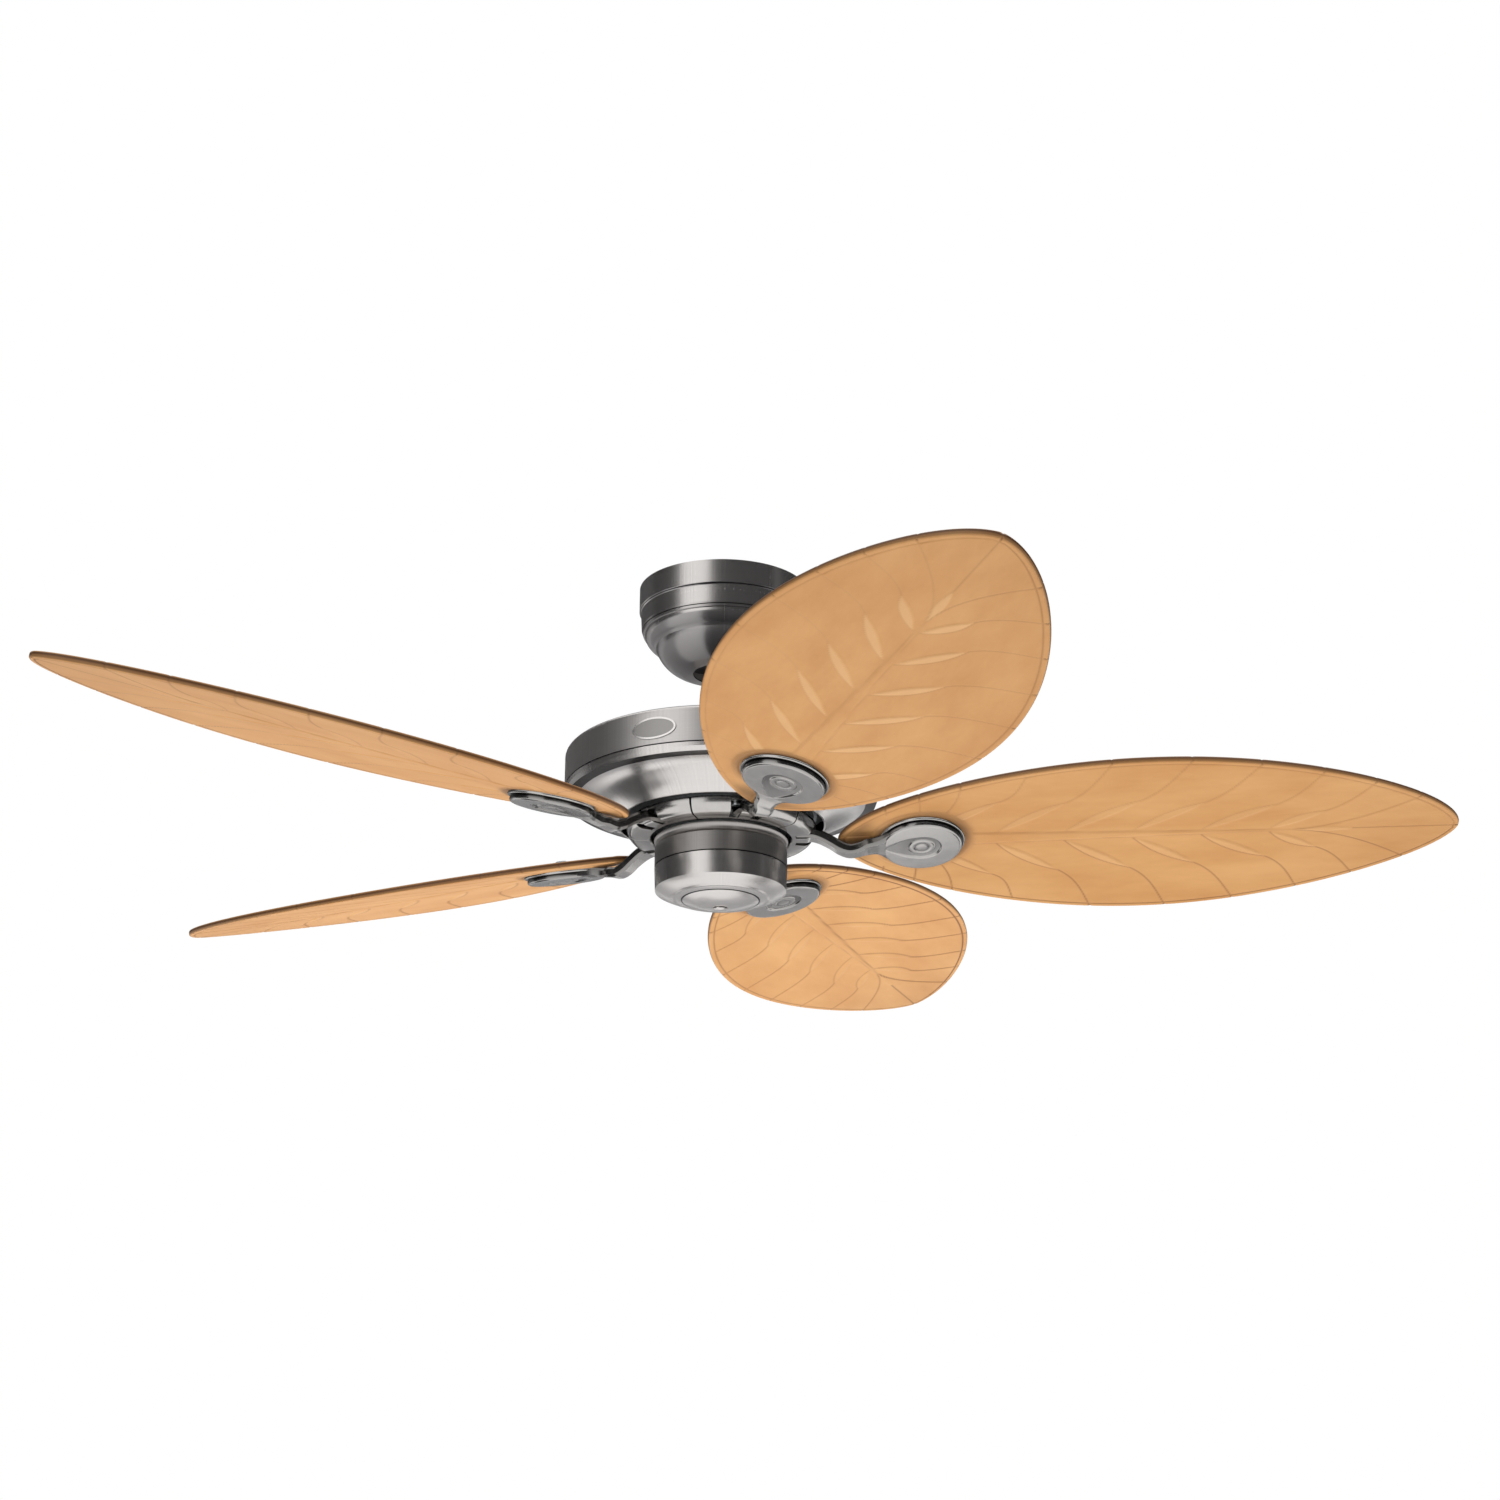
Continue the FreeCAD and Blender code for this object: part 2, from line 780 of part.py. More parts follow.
def lower_bell():
    """Lower cover of the rotor: bearing seat and the ring that carries the blade irons."""
    rim_bottom = ring_bottom - lower_rim_height
    plate_top = lower_plate_bottom + bell_plate
    boss = bearing_radius + bearing_boss_wall
    outer_boss = ring_outer_radius - boss_margin
    bell = turned_outline([
        (motor_radius - rotor_rim, ring_bottom),
        (motor_radius, ring_bottom),
        (motor_radius, rim_bottom),
        (outer_boss + bell_plate, lower_plate_bottom),
        (outer_boss, lower_plate_bottom),
        (outer_boss, iron_seat),
        (ring_inner_radius, iron_seat),
        (ring_inner_radius, lower_plate_bottom),
        (boss, lower_plate_bottom),
        (boss, lower_bearing_bottom() - bearing_lip),
        (bearing_lip_radius, lower_bearing_bottom() - bearing_lip),
        (bearing_lip_radius, lower_bearing_bottom()),
        (bearing_radius, lower_bearing_bottom()),
        (bearing_radius, plate_top),
        (outer_boss, plate_top),
        (motor_radius - rotor_rim, rim_bottom),
    ])
    cuts = rotor_drills(rotor_bolt_radius, ring_bottom - lower_rim_height * rim_tap_share, ring_bottom + overrun)
    for index in range(blade_count):
        for place in iron_screw_places(index):
            cuts.append(Part.makeCylinder(screw_radius, iron_screw_bite() + overrun, place))
    return bell.cut(cuts)


def upper_bearing_top():
    """Level of the upper bearing's upper face."""
    return motor_top - bearing_lip


def lower_bearing_bottom():
    """Level of the lower bearing's lower face."""
    return lower_plate_bottom + bell_plate - bearing_width


def bearing(low):
    """Shielded ball bearing as one ring, with its shields set back."""
    high = low + bearing_width
    ring = tube(bearing_radius, shaft_radius + running_gap, low, high)
    third = (bearing_radius - shaft_radius) / 3
    shields = []
    for start in (low - overrun, high - bearing_shield_depth):
        shields.append(tube(
            bearing_radius - third * bearing_ring_share, shaft_radius + third * bearing_ring_share,
            start, start + overrun + bearing_shield_depth,
        ))
    return ring.cut(shields)


def rotor_ring():
    """Laminated ring with its cage, clamped between the two bells."""
    ring = tube(motor_radius, motor_radius - ring_depth, ring_bottom, ring_top)
    return ring.cut(rotor_drills(rotor_bolt_radius + slip, ring_bottom - overrun, ring_top + overrun))


def rotor_bolts():
    """Bolts down through the upper bell and the ring into the lower bell."""
    length = upper_rim_height + ring_height + lower_rim_height / 2
    one = screw(length, rotor_rim / 2, rotor_bolt_radius)
    bolt = placed(one, at((rotor_bolt_circle(), motor_top)), UP)
    turns = [360.0 * step / rotor_bolt_count for step in range(rotor_bolt_count)]
    return Part.makeCompound([spun(bolt, turn) for turn in turns])


def stator_core():
    """Laminated core on the shaft's shoulder, relieved around the upper bearing's seat."""
    outer = motor_radius - ring_depth - motor_air_gap
    return turned_outline([
        (shoulder_radius + slip, ring_bottom),
        (outer, ring_bottom),
        (outer, ring_top),
        (stator_hub_radius, ring_top),
        (stator_hub_radius, ring_top - stator_hub_relief),
        (shoulder_radius + slip, ring_top - stator_hub_relief),
    ])


def stator_windings():
    """End turns of the winding, a ring above and a ring below the core."""
    outer = winding_outer_radius
    upper = tube(outer, winding_inner_radius, ring_top, ring_top + winding_height)
    lower = tube(outer, winding_inner_radius, ring_bottom - winding_height, ring_bottom)
    return Part.makeCompound([upper, lower])


def motor_shaft():
    """Hollow fixed shaft, shouldered between the bearings and flanged under the stator."""
    top = rod_bottom - air
    bottom = lip_level - shaft_nut_height - shaft_bore_radius
    shoulder_top = upper_bearing_top() - bearing_width - slip
    shoulder_bottom = lower_bearing_bottom() + bearing_width + slip
    collar = ring_bottom - bell_plate
    body = turned_outline([
        (shaft_bore_radius, bottom),
        (shaft_radius, bottom),
        (shaft_radius, shoulder_bottom),
        (shoulder_radius, shoulder_bottom),
        (shoulder_radius, collar),
        (shoulder_radius + bell_plate, collar),
        (shoulder_radius + bell_plate, ring_bottom),
        (shoulder_radius, ring_bottom),
        (shoulder_radius, shoulder_top),
        (shaft_radius, shoulder_top),
        (shaft_radius, top),
        (shaft_bore_radius, top),
    ])
    return body


def notch_offset():
    """Distance of an iron's screws from the middle of its arm."""
    return (arm_root_width + notch_width) / 2


def iron_screw_radius():
    """Distance of an iron's screws from the fan's axis, along the arm."""
    return (notch_inner_radius + ring_outer_radius - boss_margin) / 2


def iron_screw_bite():
    """Length of an iron's screw in the rotor."""
    return lower_plate_rise / 2


def iron_screw_places(index):
    """Where one iron's two screws cross the face that it seats on."""
    points = []
    for side in (-1, 1):
        point = FreeCAD.Vector(iron_screw_radius(), side * notch_offset(), iron_seat)
        points.append(spun(Part.Vertex(point), index * iron_spacing).Point)
    return points


def iron_screws():
    """Two screws up through each iron's flange into the rotor."""
    one = screw(iron_flange + iron_screw_bite())
    screws = []
    for index in range(blade_count):
        for place in iron_screw_places(index):
            screws.append(placed(one, place - UP * iron_flange, -UP))
    return Part.makeCompound(screws)


def iron_root():
    """Ring segment of an iron, notched down to a flange on both sides of its arm."""
    foot = iron_seat - ring_height_root
    bulge = (ring_outer_radius * ring_bulge_share + ring_foot_radius * (1 - ring_bulge_share),
             iron_seat - ring_height_root / 2)
    segment = turned_outline([
        (ring_inner_radius, iron_seat),
        (ring_outer_radius - ring_edge, iron_seat),
        (ring_outer_radius, iron_seat - ring_edge),
        (bulge, (ring_foot_radius, foot)),
        (ring_inner_radius + ring_edge, foot),
        (ring_inner_radius, foot + ring_edge),
    ], iron_spacing)
    segment.rotate(ORIGIN, UP, -iron_spacing / 2)
    cuts = []
    for side in (-1, 1):
        seam = block(
            0, ring_outer_radius + overrun, -ring_seam / 2, ring_seam / 2, foot - overrun, iron_seat + overrun,
        )
        cuts.append(spun(seam, side * iron_spacing / 2))
        near = side * arm_root_width / 2
        far = side * (arm_root_width / 2 + notch_width)
        cuts.append(block(
            notch_inner_radius, ring_outer_radius + overrun, min(near, far), max(near, far),
            foot - overrun, iron_seat - iron_flange,
        ))
        cuts.append(Part.makeCylinder(
            screw_radius + slip, ring_height_root + overrun,
            FreeCAD.Vector(iron_screw_radius(), side * notch_offset(), foot),
        ))
    return segment.cut(cuts)


def disc_gap():
    """Room that the blade's camber needs above the flat disc."""
    return disc_radius ** 2 / (2 * blade_camber_radius) + slip


def iron_disc():
    """Round end of an iron in the blade's frame: flange, groove, face and rosette."""
    top = -disc_gap()
    flange = top - disc_flange
    groove = flange - disc_groove
    face = top - disc_thickness
    edge = disc_face_radius - disc_edge
    bend = disc_edge * (1 - math.sqrt(0.5))
    step = rosette_relief
    disc = turned_outline([
        (0, top),
        (disc_radius - disc_flange / 3, top),
        ((disc_radius, (top + flange) / 2), (disc_radius - disc_flange / 3, flange)),
        (disc_radius - disc_groove_depth, flange),
        (disc_radius - disc_groove_depth, groove),
        (disc_face_radius, groove),
        (disc_face_radius, face + disc_edge),
        ((disc_face_radius - bend, face + bend), (edge, face)),
        (rosette_radius, face),
        (rosette_radius - step, face + step),
        (rosette_ring_radius + step, face + step),
        (rosette_ring_radius, face - step / 3),
        (rosette_button_radius + 2 * step, face - step / 3),
        (rosette_button_radius + step, face + step),
        (rosette_button_radius, face + step),
        (rosette_button_radius, face - step),
        dome_below(rosette_button_radius, face - step, step / 2),
    ])
    holes = []
    for turn in blade_screw_turns():
        hole = Part.makeCylinder(
            screw_radius + slip, blade_screw_depth + overrun,
            at((blade_screw_circle, top - blade_screw_depth)),
        )
        holes.append(spun(hole, turn))
    return disc.cut(holes)


def blade_screw_turns():
    """Directions of a blade's screws around the middle of the iron's disc."""
    return [360.0 * step / blade_screw_count for step in range(blade_screw_count)]


def bar_section(centre, along, side, width, thickness):
    """Chamfered rectangle across a bar, as a closed wire."""
    lift = along.cross(side)
    chamfer = arm_chamfer_share * thickness
    half, rise = width / 2, thickness / 2
    corners = [
        (half, rise - chamfer), (half - chamfer, rise), (chamfer - half, rise), (-half, rise - chamfer),
        (-half, chamfer - rise), (chamfer - half, -rise), (half - chamfer, -rise), (half, chamfer - rise),
    ]
    points = [centre + side * across + lift * up for across, up in corners]
    return Part.makePolygon(points + [points[0]])


def iron_arm():
    """Cranked arm of an iron: out of its ring, down, and twisted up into the disc."""
    frame = blade_frame(0)
    root_level = iron_seat - arm_root_drop
    bend_level = iron_seat - arm_bend_drop
    drop = root_level - bend_level
    run = arm_bend_radius - ring_outer_radius
    mid_disc = -disc_gap() - disc_thickness / 2
    neck = frame.multVec(FreeCAD.Vector(-disc_radius, 0, mid_disc))
    inside = frame.multVec(FreeCAD.Vector(-disc_radius / 2, 0, mid_disc))
    rise = neck.z - bend_level
    climb = neck.x - arm_bend_radius
    wide = arm_neck_width - arm_root_width
    knee = at((arm_bend_radius - run * arm_knee_share, root_level - drop * arm_drop_shares[1]))
    middle = at((arm_bend_radius + climb * arm_climb_share, bend_level + rise * arm_rise_share))
    bend_width, middle_width, inside_width = [arm_root_width + wide * share for share in arm_swell_shares]
    stations = [
        (at((notch_inner_radius, root_level)), arm_root_width, arm_thickness, 0),
        (at((ring_outer_radius, root_level - drop * arm_drop_shares[0])), arm_root_width, arm_thickness, 0),
        (knee, arm_root_width, arm_thickness, arm_twist_shares[0]),
        (at((arm_bend_radius, bend_level)), bend_width, arm_thickness, arm_twist_shares[1]),
        (middle, middle_width, arm_thickness * arm_thin_shares[0], arm_twist_shares[2]),
        (neck, arm_neck_width, disc_thickness * arm_thin_shares[1], 1),
        (inside, inside_width, disc_thickness * arm_thin_shares[2], 1),
    ]
    wires = []
    for place, (centre, width, thickness, twist) in enumerate(stations):
        before = stations[max(place - 1, 0)][0]
        after = stations[min(place + 1, len(stations) - 1)][0]
        along = (after - before).normalize()
        side = FreeCAD.Rotation(along, -blade_pitch * twist).multVec(TANGENT)
        wires.append(bar_section(centre, along, side, width, thickness))
    return Part.makeLoft(wires, True, False)


def blade_iron(index):
    """One blade iron: ring segment, arm and disc in one casting."""
    casting = iron_root().fuse([iron_arm(), in_blade_frame(iron_disc(), 0)])
    return spun(casting, index * iron_spacing)


def leaf_half_width(share):
    """Half width of a blade at a share of its length from the inner end."""
    along = 2 * share - 1
    swell = 1 + sum(part * along ** (power + 1) for power, part in enumerate(leaf_swell_shares))
    return blade_width / 2 * (4 * share * (1 - share)) ** leaf_end_share * swell


def leaf_face():
    """Leaf outline in the blade's frame, from a formula for its half width."""
    inner = (blade_inner_radius - disc_centre_radius) / math.cos(math.radians(blade_cone))
    outer = (blade_sweep / 2 - disc_centre_radius) / math.cos(math.radians(blade_cone))
    points = []
    for step in range(leaf_outline_points):
        turn = 2 * math.pi * step / leaf_outline_points
        share = (1 - math.cos(turn)) / 2
        side = 1 if turn < math.pi else -1
        half = 0 if step in (0, leaf_outline_points // 2) else leaf_half_width(share)
        points.append(FreeCAD.Vector(inner + (outer - inner) * share, side * half, 0))
    curve = Part.BSplineCurve()
    curve.interpolate(points, PeriodicFlag=True)
    return Part.Face(Part.Wire(curve.toShape()))


def blade():
    """Leaf blade in its own frame: an arched sheet cut to the leaf, with holes for its grommets."""
    depth = blade_camber_radius - math.sqrt(blade_camber_radius ** 2 - (blade_width / 2) ** 2)
    leaf = leaf_face()
    leaf.translate(-UP * (depth + overrun))
    prism = leaf.extrude(UP * (depth + blade_thickness + 2 * overrun))
    box = prism.BoundBox
    length = box.XMax - box.XMin + 2 * overrun
    start = FreeCAD.Vector(box.XMin - overrun, 0, -blade_camber_radius)
    outer = Part.makeCylinder(blade_camber_radius + blade_thickness, length, start, RADIAL)
    inner = Part.makeCylinder(blade_camber_radius, length, start, RADIAL)
    holes = []
    for turn in blade_screw_turns():
        hole = rod(blade_hole_radius, -depth - overrun, blade_thickness + overrun)
        hole.translate(RADIAL * blade_screw_circle)
        holes.append(spun(hole, turn))
    return prism.common(outer).cut([inner] + holes)


def blade_grommet():
    """Rubber grommet in a blade's hole, its flange on the blade's upper face."""
    low = -disc_gap()
    sleeve = tube(blade_hole_radius - slip, screw_radius + slip, low, blade_thickness + slip)
    flange = tube(
        grommet_flange_radius, screw_radius + slip,
        blade_thickness + slip, blade_thickness + slip + grommet_flange,
    )
    return sleeve.fuse(flange).removeSplitter()


def on_blade_screws(shape):
    """Copies of a shape on every screw place of every blade."""
    copies = []
    for index in range(blade_count):
        for turn in blade_screw_turns():
            copy = shape.copy()
            copy.translate(RADIAL * blade_screw_circle)
            copies.append(in_blade_frame(spun(copy, turn), index))
    return Part.makeCompound(copies)


def blade_screw():
    """Screw down through a grommet into the iron's disc."""
    seat = blade_thickness + slip + grommet_flange
    one = screw(seat + disc_gap() + blade_screw_depth - slip, grommet_flange_radius * blade_screw_head_share)
    one.translate(UP * seat)
    return one


def plate_spacer():
    """Sleeve on the shaft between the lower bearing and the switch plate."""
    top = lower_bearing_bottom() - slip
    return tube(bearing_lip_radius - bearing_lip, shaft_radius + slip, lip_level + switch_plate, top)


def plate_screw_places():
    """Where the screws of the switch plate cross its lower face."""
    circle = lip_radius - switch_flange / 2 - switch_wall
    turns = [120.0 * step + 30.0 for step in range(3)]
    return [spun(Part.Vertex(at((circle, lip_level))), turn).Point for turn in turns]


def switch_plate_disc():
    """Plate on the shaft's end that carries the switch housing."""
    plate = tube(switch_plate_radius, shaft_radius + slip, lip_level, lip_level + switch_plate)
    drills = []
    for place in plate_screw_places():
        drills.append(Part.makeCylinder(screw_radius, switch_plate + 2 * overrun, place - UP * overrun))
    return plate.cut(drills)


def switch_plate_screws():
    """Screws up through the switch housing's flange into the plate."""
    one = screw(switch_wall + switch_plate + screw_tail / 2)
    return Part.makeCompound([placed(one, place - UP * switch_wall, -UP) for place in plate_screw_places()])


def shaft_nut():
    """Hexagon nut on the shaft's end under the switch plate."""
    corner = shaft_nut_flats / math.sqrt(3)
    points = []
    for step in range(7):
        turn = math.radians(60.0 * step)
        low = lip_level - shaft_nut_height
        points.append(FreeCAD.Vector(corner * math.cos(turn), corner * math.sin(turn), low))
    body = Part.Face(Part.makePolygon(points)).extrude(UP * shaft_nut_height)
    return body.cut(rod(shaft_radius + slip, lip_level - shaft_nut_height - overrun, lip_level + overrun))


def side_screw_level():
    """Height of the screws through both switch housings."""
    return switch_seam + switch_lip_height / 2


def upper_switch_housing():
    """Flared lip, neck and cylinder under the switch plate, with the reversing switch's slot."""
    neck_bottom = lip_level - neck_height
    steps = [
        (lip_radius - switch_flange, lip_level),
        (lip_radius, lip_level),
        (lip_radius, lip_level - lip_edge),
        ((lip_radius - neck_depth, lip_level - neck_height * neck_waist_share),
         (switch_radius - lip_edge, neck_bottom + lip_edge)),
        (switch_radius, neck_bottom),
        (switch_radius, switch_seam),
    ]
    inside = lip_radius - neck_depth - switch_wall
    inner = [
        (lip_radius - switch_flange, lip_level - switch_wall),
        (inside, lip_level - switch_wall),
        (inside, neck_bottom - switch_wall),
        (switch_radius - switch_wall, neck_bottom - 2 * switch_wall),
        (switch_radius - switch_wall, switch_seam),
    ]
    ends = chain([steps[0], inner[0]]) + chain([steps[-1], inner[-1]])
    shell = turned(chain(steps) + chain(inner) + ends)
    cuts = side_holes(switch_radius, side_screw_level(), side_screw_angles, screw_radius + slip)
    cuts.append(slider_room(switch_radius / 2, switch_radius + overrun))
    for place in plate_screw_places():
        cuts.append(Part.makeCylinder(screw_radius + slip, switch_wall + 2 * overrun,
                                      place - UP * (switch_wall + overrun)))
    return shell.cut(cuts)


def lower_switch_housing():
    """Cup under the switch housing: lip inside the upper half, cylinder, chamfer and cap hole."""
    lip = switch_radius - switch_wall - slip
    floor = cap_level + switch_wall
    swell = ((switch_radius + cap_radius) / 2, (chamfer_level + cap_level) / 2 - chamfer_swell)
    outer = [
        (lip, switch_seam + switch_lip_height),
        (lip, switch_seam),
        (switch_radius - switch_groove, switch_seam),
        (switch_radius, switch_seam - switch_groove),
        (switch_radius - switch_groove, chamfer_level),
        (swell, (cap_radius, cap_level)),
    ]
    inner = [
        (lip - switch_wall, switch_seam + switch_lip_height),
        (lip - switch_wall, chamfer_level + switch_wall / 2),
        (cap_radius + 2 * cap_flange, floor),
        (cap_radius, floor),
    ]
    ends = chain([outer[0], inner[0]]) + chain([last_point(outer), inner[-1]])
    cup = turned(chain(outer) + chain(inner) + ends)
    cuts = side_holes(switch_radius, side_screw_level(), side_screw_angles, screw_radius)
    room = slider_room(switch_radius / 2, switch_radius + overrun)
    cuts.append(room)
    return cup.cut(cuts)


def switch_side_screws():
    """Screws through the upper switch housing into the lower one's lip."""
    length = 2 * switch_wall + slip + screw_tail
    return Part.makeCompound(side_screws(length, switch_radius, side_screw_level(), side_screw_angles))


def switch_cap():
    """Shallow dome in the lower housing's hole, hung by a flange inside it."""
    floor = cap_level + switch_wall
    edge = cap_radius - air
    shell = turned_outline([
        (plug_stem_radius + slip, cap_level - cap_rise),
        ((edge * cap_dome_share, cap_level - cap_rise * cap_dome_share), (edge, cap_level)),
        (edge, floor),
        (edge + cap_flange, floor),
        (edge + cap_flange, floor + cap_wall),
        (edge - cap_wall, floor + cap_wall),
        ((edge * cap_hollow_share, cap_level - cap_rise * cap_hollow_share + cap_wall),
         (plug_stem_radius + slip, cap_level - cap_rise + cap_wall)),
    ])
    return shell


def cap_plug():
    """Button in the middle of the cap, on a stem through it."""
    seat = cap_level - cap_rise - running_gap
    button = turned_outline([
        (0, seat),
        (plug_radius, seat),
        (plug_radius, seat - plug_height / 3),
        dome_below(plug_radius, seat - plug_height / 3, plug_height * 2 / 3),
    ])
    stem = rod(plug_stem_radius, seat, seat + plug_stem_length)
    return button.fuse(stem).removeSplitter()


def capacitor():
    """Motor capacitor stuck under the switch plate."""
    low = lip_level - capacitor_height
    case = block(
        capacitor_offset, capacitor_offset + capacitor_length, -capacitor_width / 2, capacitor_width / 2,
        low, lip_level,
    )
    uprights = [edge for edge in case.Edges if abs(edge.Curve.Direction.z) > abs(edge.Curve.Direction.x)
                and abs(edge.Curve.Direction.z) > abs(edge.Curve.Direction.y)]
    return case.makeFillet(capacitor_width / 8, uprights)


def slider_level():
    """Height of the reversing switch on the upper switch housing."""
    return lip_level - neck_height - 2 * switch_wall - reverse_body_height / 2


def slider_room(near, far):
    """Slot for the reversing switch's slider, along Y between two distances."""
    half = (slider_width + slider_travel) / 2 + air
    level = slider_level()
    return block(-half, half, near, far, level - slider_height / 2 - air, level + slider_height / 2 + air)


def reverse_switch_body():
    """Body of the reversing switch against the housing's wall."""
    level = slider_level()
    face = switch_radius - 2 * switch_wall - 2 * air
    case = block(
        -reverse_body_width / 2, reverse_body_width / 2, face - reverse_body_depth, face + overrun,
        level - reverse_body_height / 2, level + reverse_body_height / 2,
    )
    body = case.common(rod(face, level - reverse_body_height, level + reverse_body_height))
    return body.cut(slider_room(switch_radius + slider_stand - slider_depth - air, switch_radius + overrun))


def reverse_slider():
    """Slider of the reversing switch, at one end of its travel."""
    level = slider_level()
    middle = -slider_travel / 2
    outer = switch_radius + slider_stand
    return block(
        middle - slider_width / 2, middle + slider_width / 2, outer - slider_depth, outer,
        level - slider_height / 2, level + slider_height / 2,
    )


nodes = {
    "hanger_bracket": hanger_bracket(),
    "canopy": canopy(),
    "canopy_screws": canopy_screws(),
    "hanger_ball": hanger_ball(),
    "ball_pin": ball_pin(),
    "downrod": downrod(),
    "coupling": coupling(),
    "coupling_pin": coupling_pin(),
    "pin_clip": pin_clip(),
    "coupling_set_screws": coupling_set_screws(),
    "coupling_cover": coupling_cover(),
    "upper_housing": upper_housing(),
    "housing_screws": housing_screws(),
    "lower_housing": lower_housing(),
    "band_screws": band_screws(),
    "oval_badge": oval_badge(),
    "motor_shaft": motor_shaft(),
    "stator_core": stator_core(),
    "stator_windings": stator_windings(),
    "upper_bell": upper_bell(),
    "rotor_ring": rotor_ring(),
    "lower_bell": lower_bell(),
    "rotor_bolts": rotor_bolts(),
    "upper_bearing": bearing(upper_bearing_top() - bearing_width),
    "lower_bearing": bearing(lower_bearing_bottom()),
    "iron_screws": iron_screws(),
    "blade_grommets": on_blade_screws(blade_grommet()),
    "blade_screws": on_blade_screws(blade_screw()),
    "plate_spacer": plate_spacer(),
    "switch_plate": switch_plate_disc(),
    "switch_plate_screws": switch_plate_screws(),
    "shaft_nut": shaft_nut(),
    "upper_switch_housing": upper_switch_housing(),
    "lower_switch_housing": lower_switch_housing(),
    "switch_side_screws": switch_side_screws(),
    "switch_cap": switch_cap(),
    "cap_plug": cap_plug(),
    "capacitor": capacitor(),
    "reverse_switch_body": reverse_switch_body(),
    "reverse_slider": reverse_slider(),
}
leaf_blade = blade()
for blade_index in range(blade_count):
    number = blade_index + 1
    nodes[f"blade_iron_{number}"] = blade_iron(blade_index)
    nodes[f"blade_{number}"] = in_blade_frame(leaf_blade, blade_index)

os.makedirs("parts", exist_ok=True)
for name, shape in nodes.items():
    shape.exportStep(f"parts/{name}.step")
    print(name, len(shape.Solids), shape.isValid(), round(shape.Volume, 1))
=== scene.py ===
import bpy
import math
import numpy as np
from mathutils import Matrix, Vector


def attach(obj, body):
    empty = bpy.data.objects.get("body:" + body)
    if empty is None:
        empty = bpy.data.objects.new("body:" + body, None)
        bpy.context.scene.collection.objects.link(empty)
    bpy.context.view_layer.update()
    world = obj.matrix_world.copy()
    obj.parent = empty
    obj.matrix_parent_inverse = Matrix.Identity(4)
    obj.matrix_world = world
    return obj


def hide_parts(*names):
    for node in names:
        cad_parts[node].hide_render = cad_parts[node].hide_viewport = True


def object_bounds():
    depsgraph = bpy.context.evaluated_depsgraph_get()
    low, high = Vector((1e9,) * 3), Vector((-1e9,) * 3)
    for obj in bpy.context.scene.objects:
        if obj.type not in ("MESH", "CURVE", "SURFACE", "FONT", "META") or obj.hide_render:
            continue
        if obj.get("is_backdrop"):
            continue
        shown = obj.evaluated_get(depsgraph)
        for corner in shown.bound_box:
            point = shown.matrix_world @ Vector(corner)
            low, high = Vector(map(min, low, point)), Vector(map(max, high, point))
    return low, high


# Outdoor ceiling fan with five leaf blades. Metres, +Z up, the ceiling at zero.
# The sections follow the fan as it is hung: ceiling, motor, blades, switch housing, studio.

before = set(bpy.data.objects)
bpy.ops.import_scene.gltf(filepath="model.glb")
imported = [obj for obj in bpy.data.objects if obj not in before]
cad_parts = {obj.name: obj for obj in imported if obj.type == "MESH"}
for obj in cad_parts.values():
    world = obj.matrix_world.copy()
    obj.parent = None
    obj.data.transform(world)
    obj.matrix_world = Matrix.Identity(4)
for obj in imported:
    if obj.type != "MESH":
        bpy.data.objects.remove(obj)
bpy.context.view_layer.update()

# Ceiling bracket
# A strap and a cradle pressed from steel sheet and zinc plated.
# Two bolts hold it to the outlet box, and the canopy hides it.

MM = 0.001


def linear(code):
    """An sRGB hex colour as the linear colour that a shader takes."""
    parts = [int(code[i:i + 2], 16) / 255 for i in (1, 3, 5)]
    return [p / 12.92 if p <= 0.04045 else ((p + 0.055) / 1.055) ** 2.4 for p in parts] + [1.0]


def node(tree, kind, settings=None, inputs=None):
    """Adds a node with its settings, and with its inputs set to values or linked to outputs."""
    made = tree.nodes.new(kind)
    for name, value in (settings or {}).items():
        setattr(made, name, value)
    for name, value in (inputs or {}).items():
        if isinstance(value, bpy.types.NodeSocket):
            tree.links.new(value, made.inputs[name])
        else:
            made.inputs[name].default_value = value
    return made


def new_material(name, **sockets):
    """A material of that name with its surface shader's sockets set."""
    made = bpy.data.materials.new(name)
    made.use_nodes = True
    shader = made.node_tree.nodes["Principled BSDF"]
    for socket, value in sockets.items():
        shader.inputs[socket.replace("_", " ")].default_value = value
    return made, made.node_tree, shader


def feed(shader, **sources):
    """Links outputs to the shader's sockets of those names."""
    for socket, source in sources.items():
        shader.id_data.links.new(source, shader.inputs[socket.replace("_", " ")])


def coat(shader, colour, gloss, relief=None):
    """Lets patterns lead a surface between two colours and two roughnesses, and raise it by a depth."""
    tree = shader.id_data
    pattern, dark, pale = colour
    tone = node(tree, "ShaderNodeMix", {"data_type": "RGBA"}, {0: pattern, 6: linear(dark), 7: linear(pale)})
    pattern, low, high = gloss
    shine = node(tree, "ShaderNodeMapRange", inputs={0: pattern, 3: low, 4: high})
    feed(shader, Base_Color=tone.outputs[2], Roughness=shine.outputs[0])
    if relief:
        pattern, strength, depth = relief
        bump = node(tree, "ShaderNodeBump",
                    inputs={"Strength": strength, "Distance": depth, "Height": pattern})
        feed(shader, Normal=bump.outputs[0])


def dress(material, *names):
    """Gives CAD nodes that material."""
    for name in names:
        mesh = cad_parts[name].data
        mesh.materials.clear()
        mesh.materials.append(material)


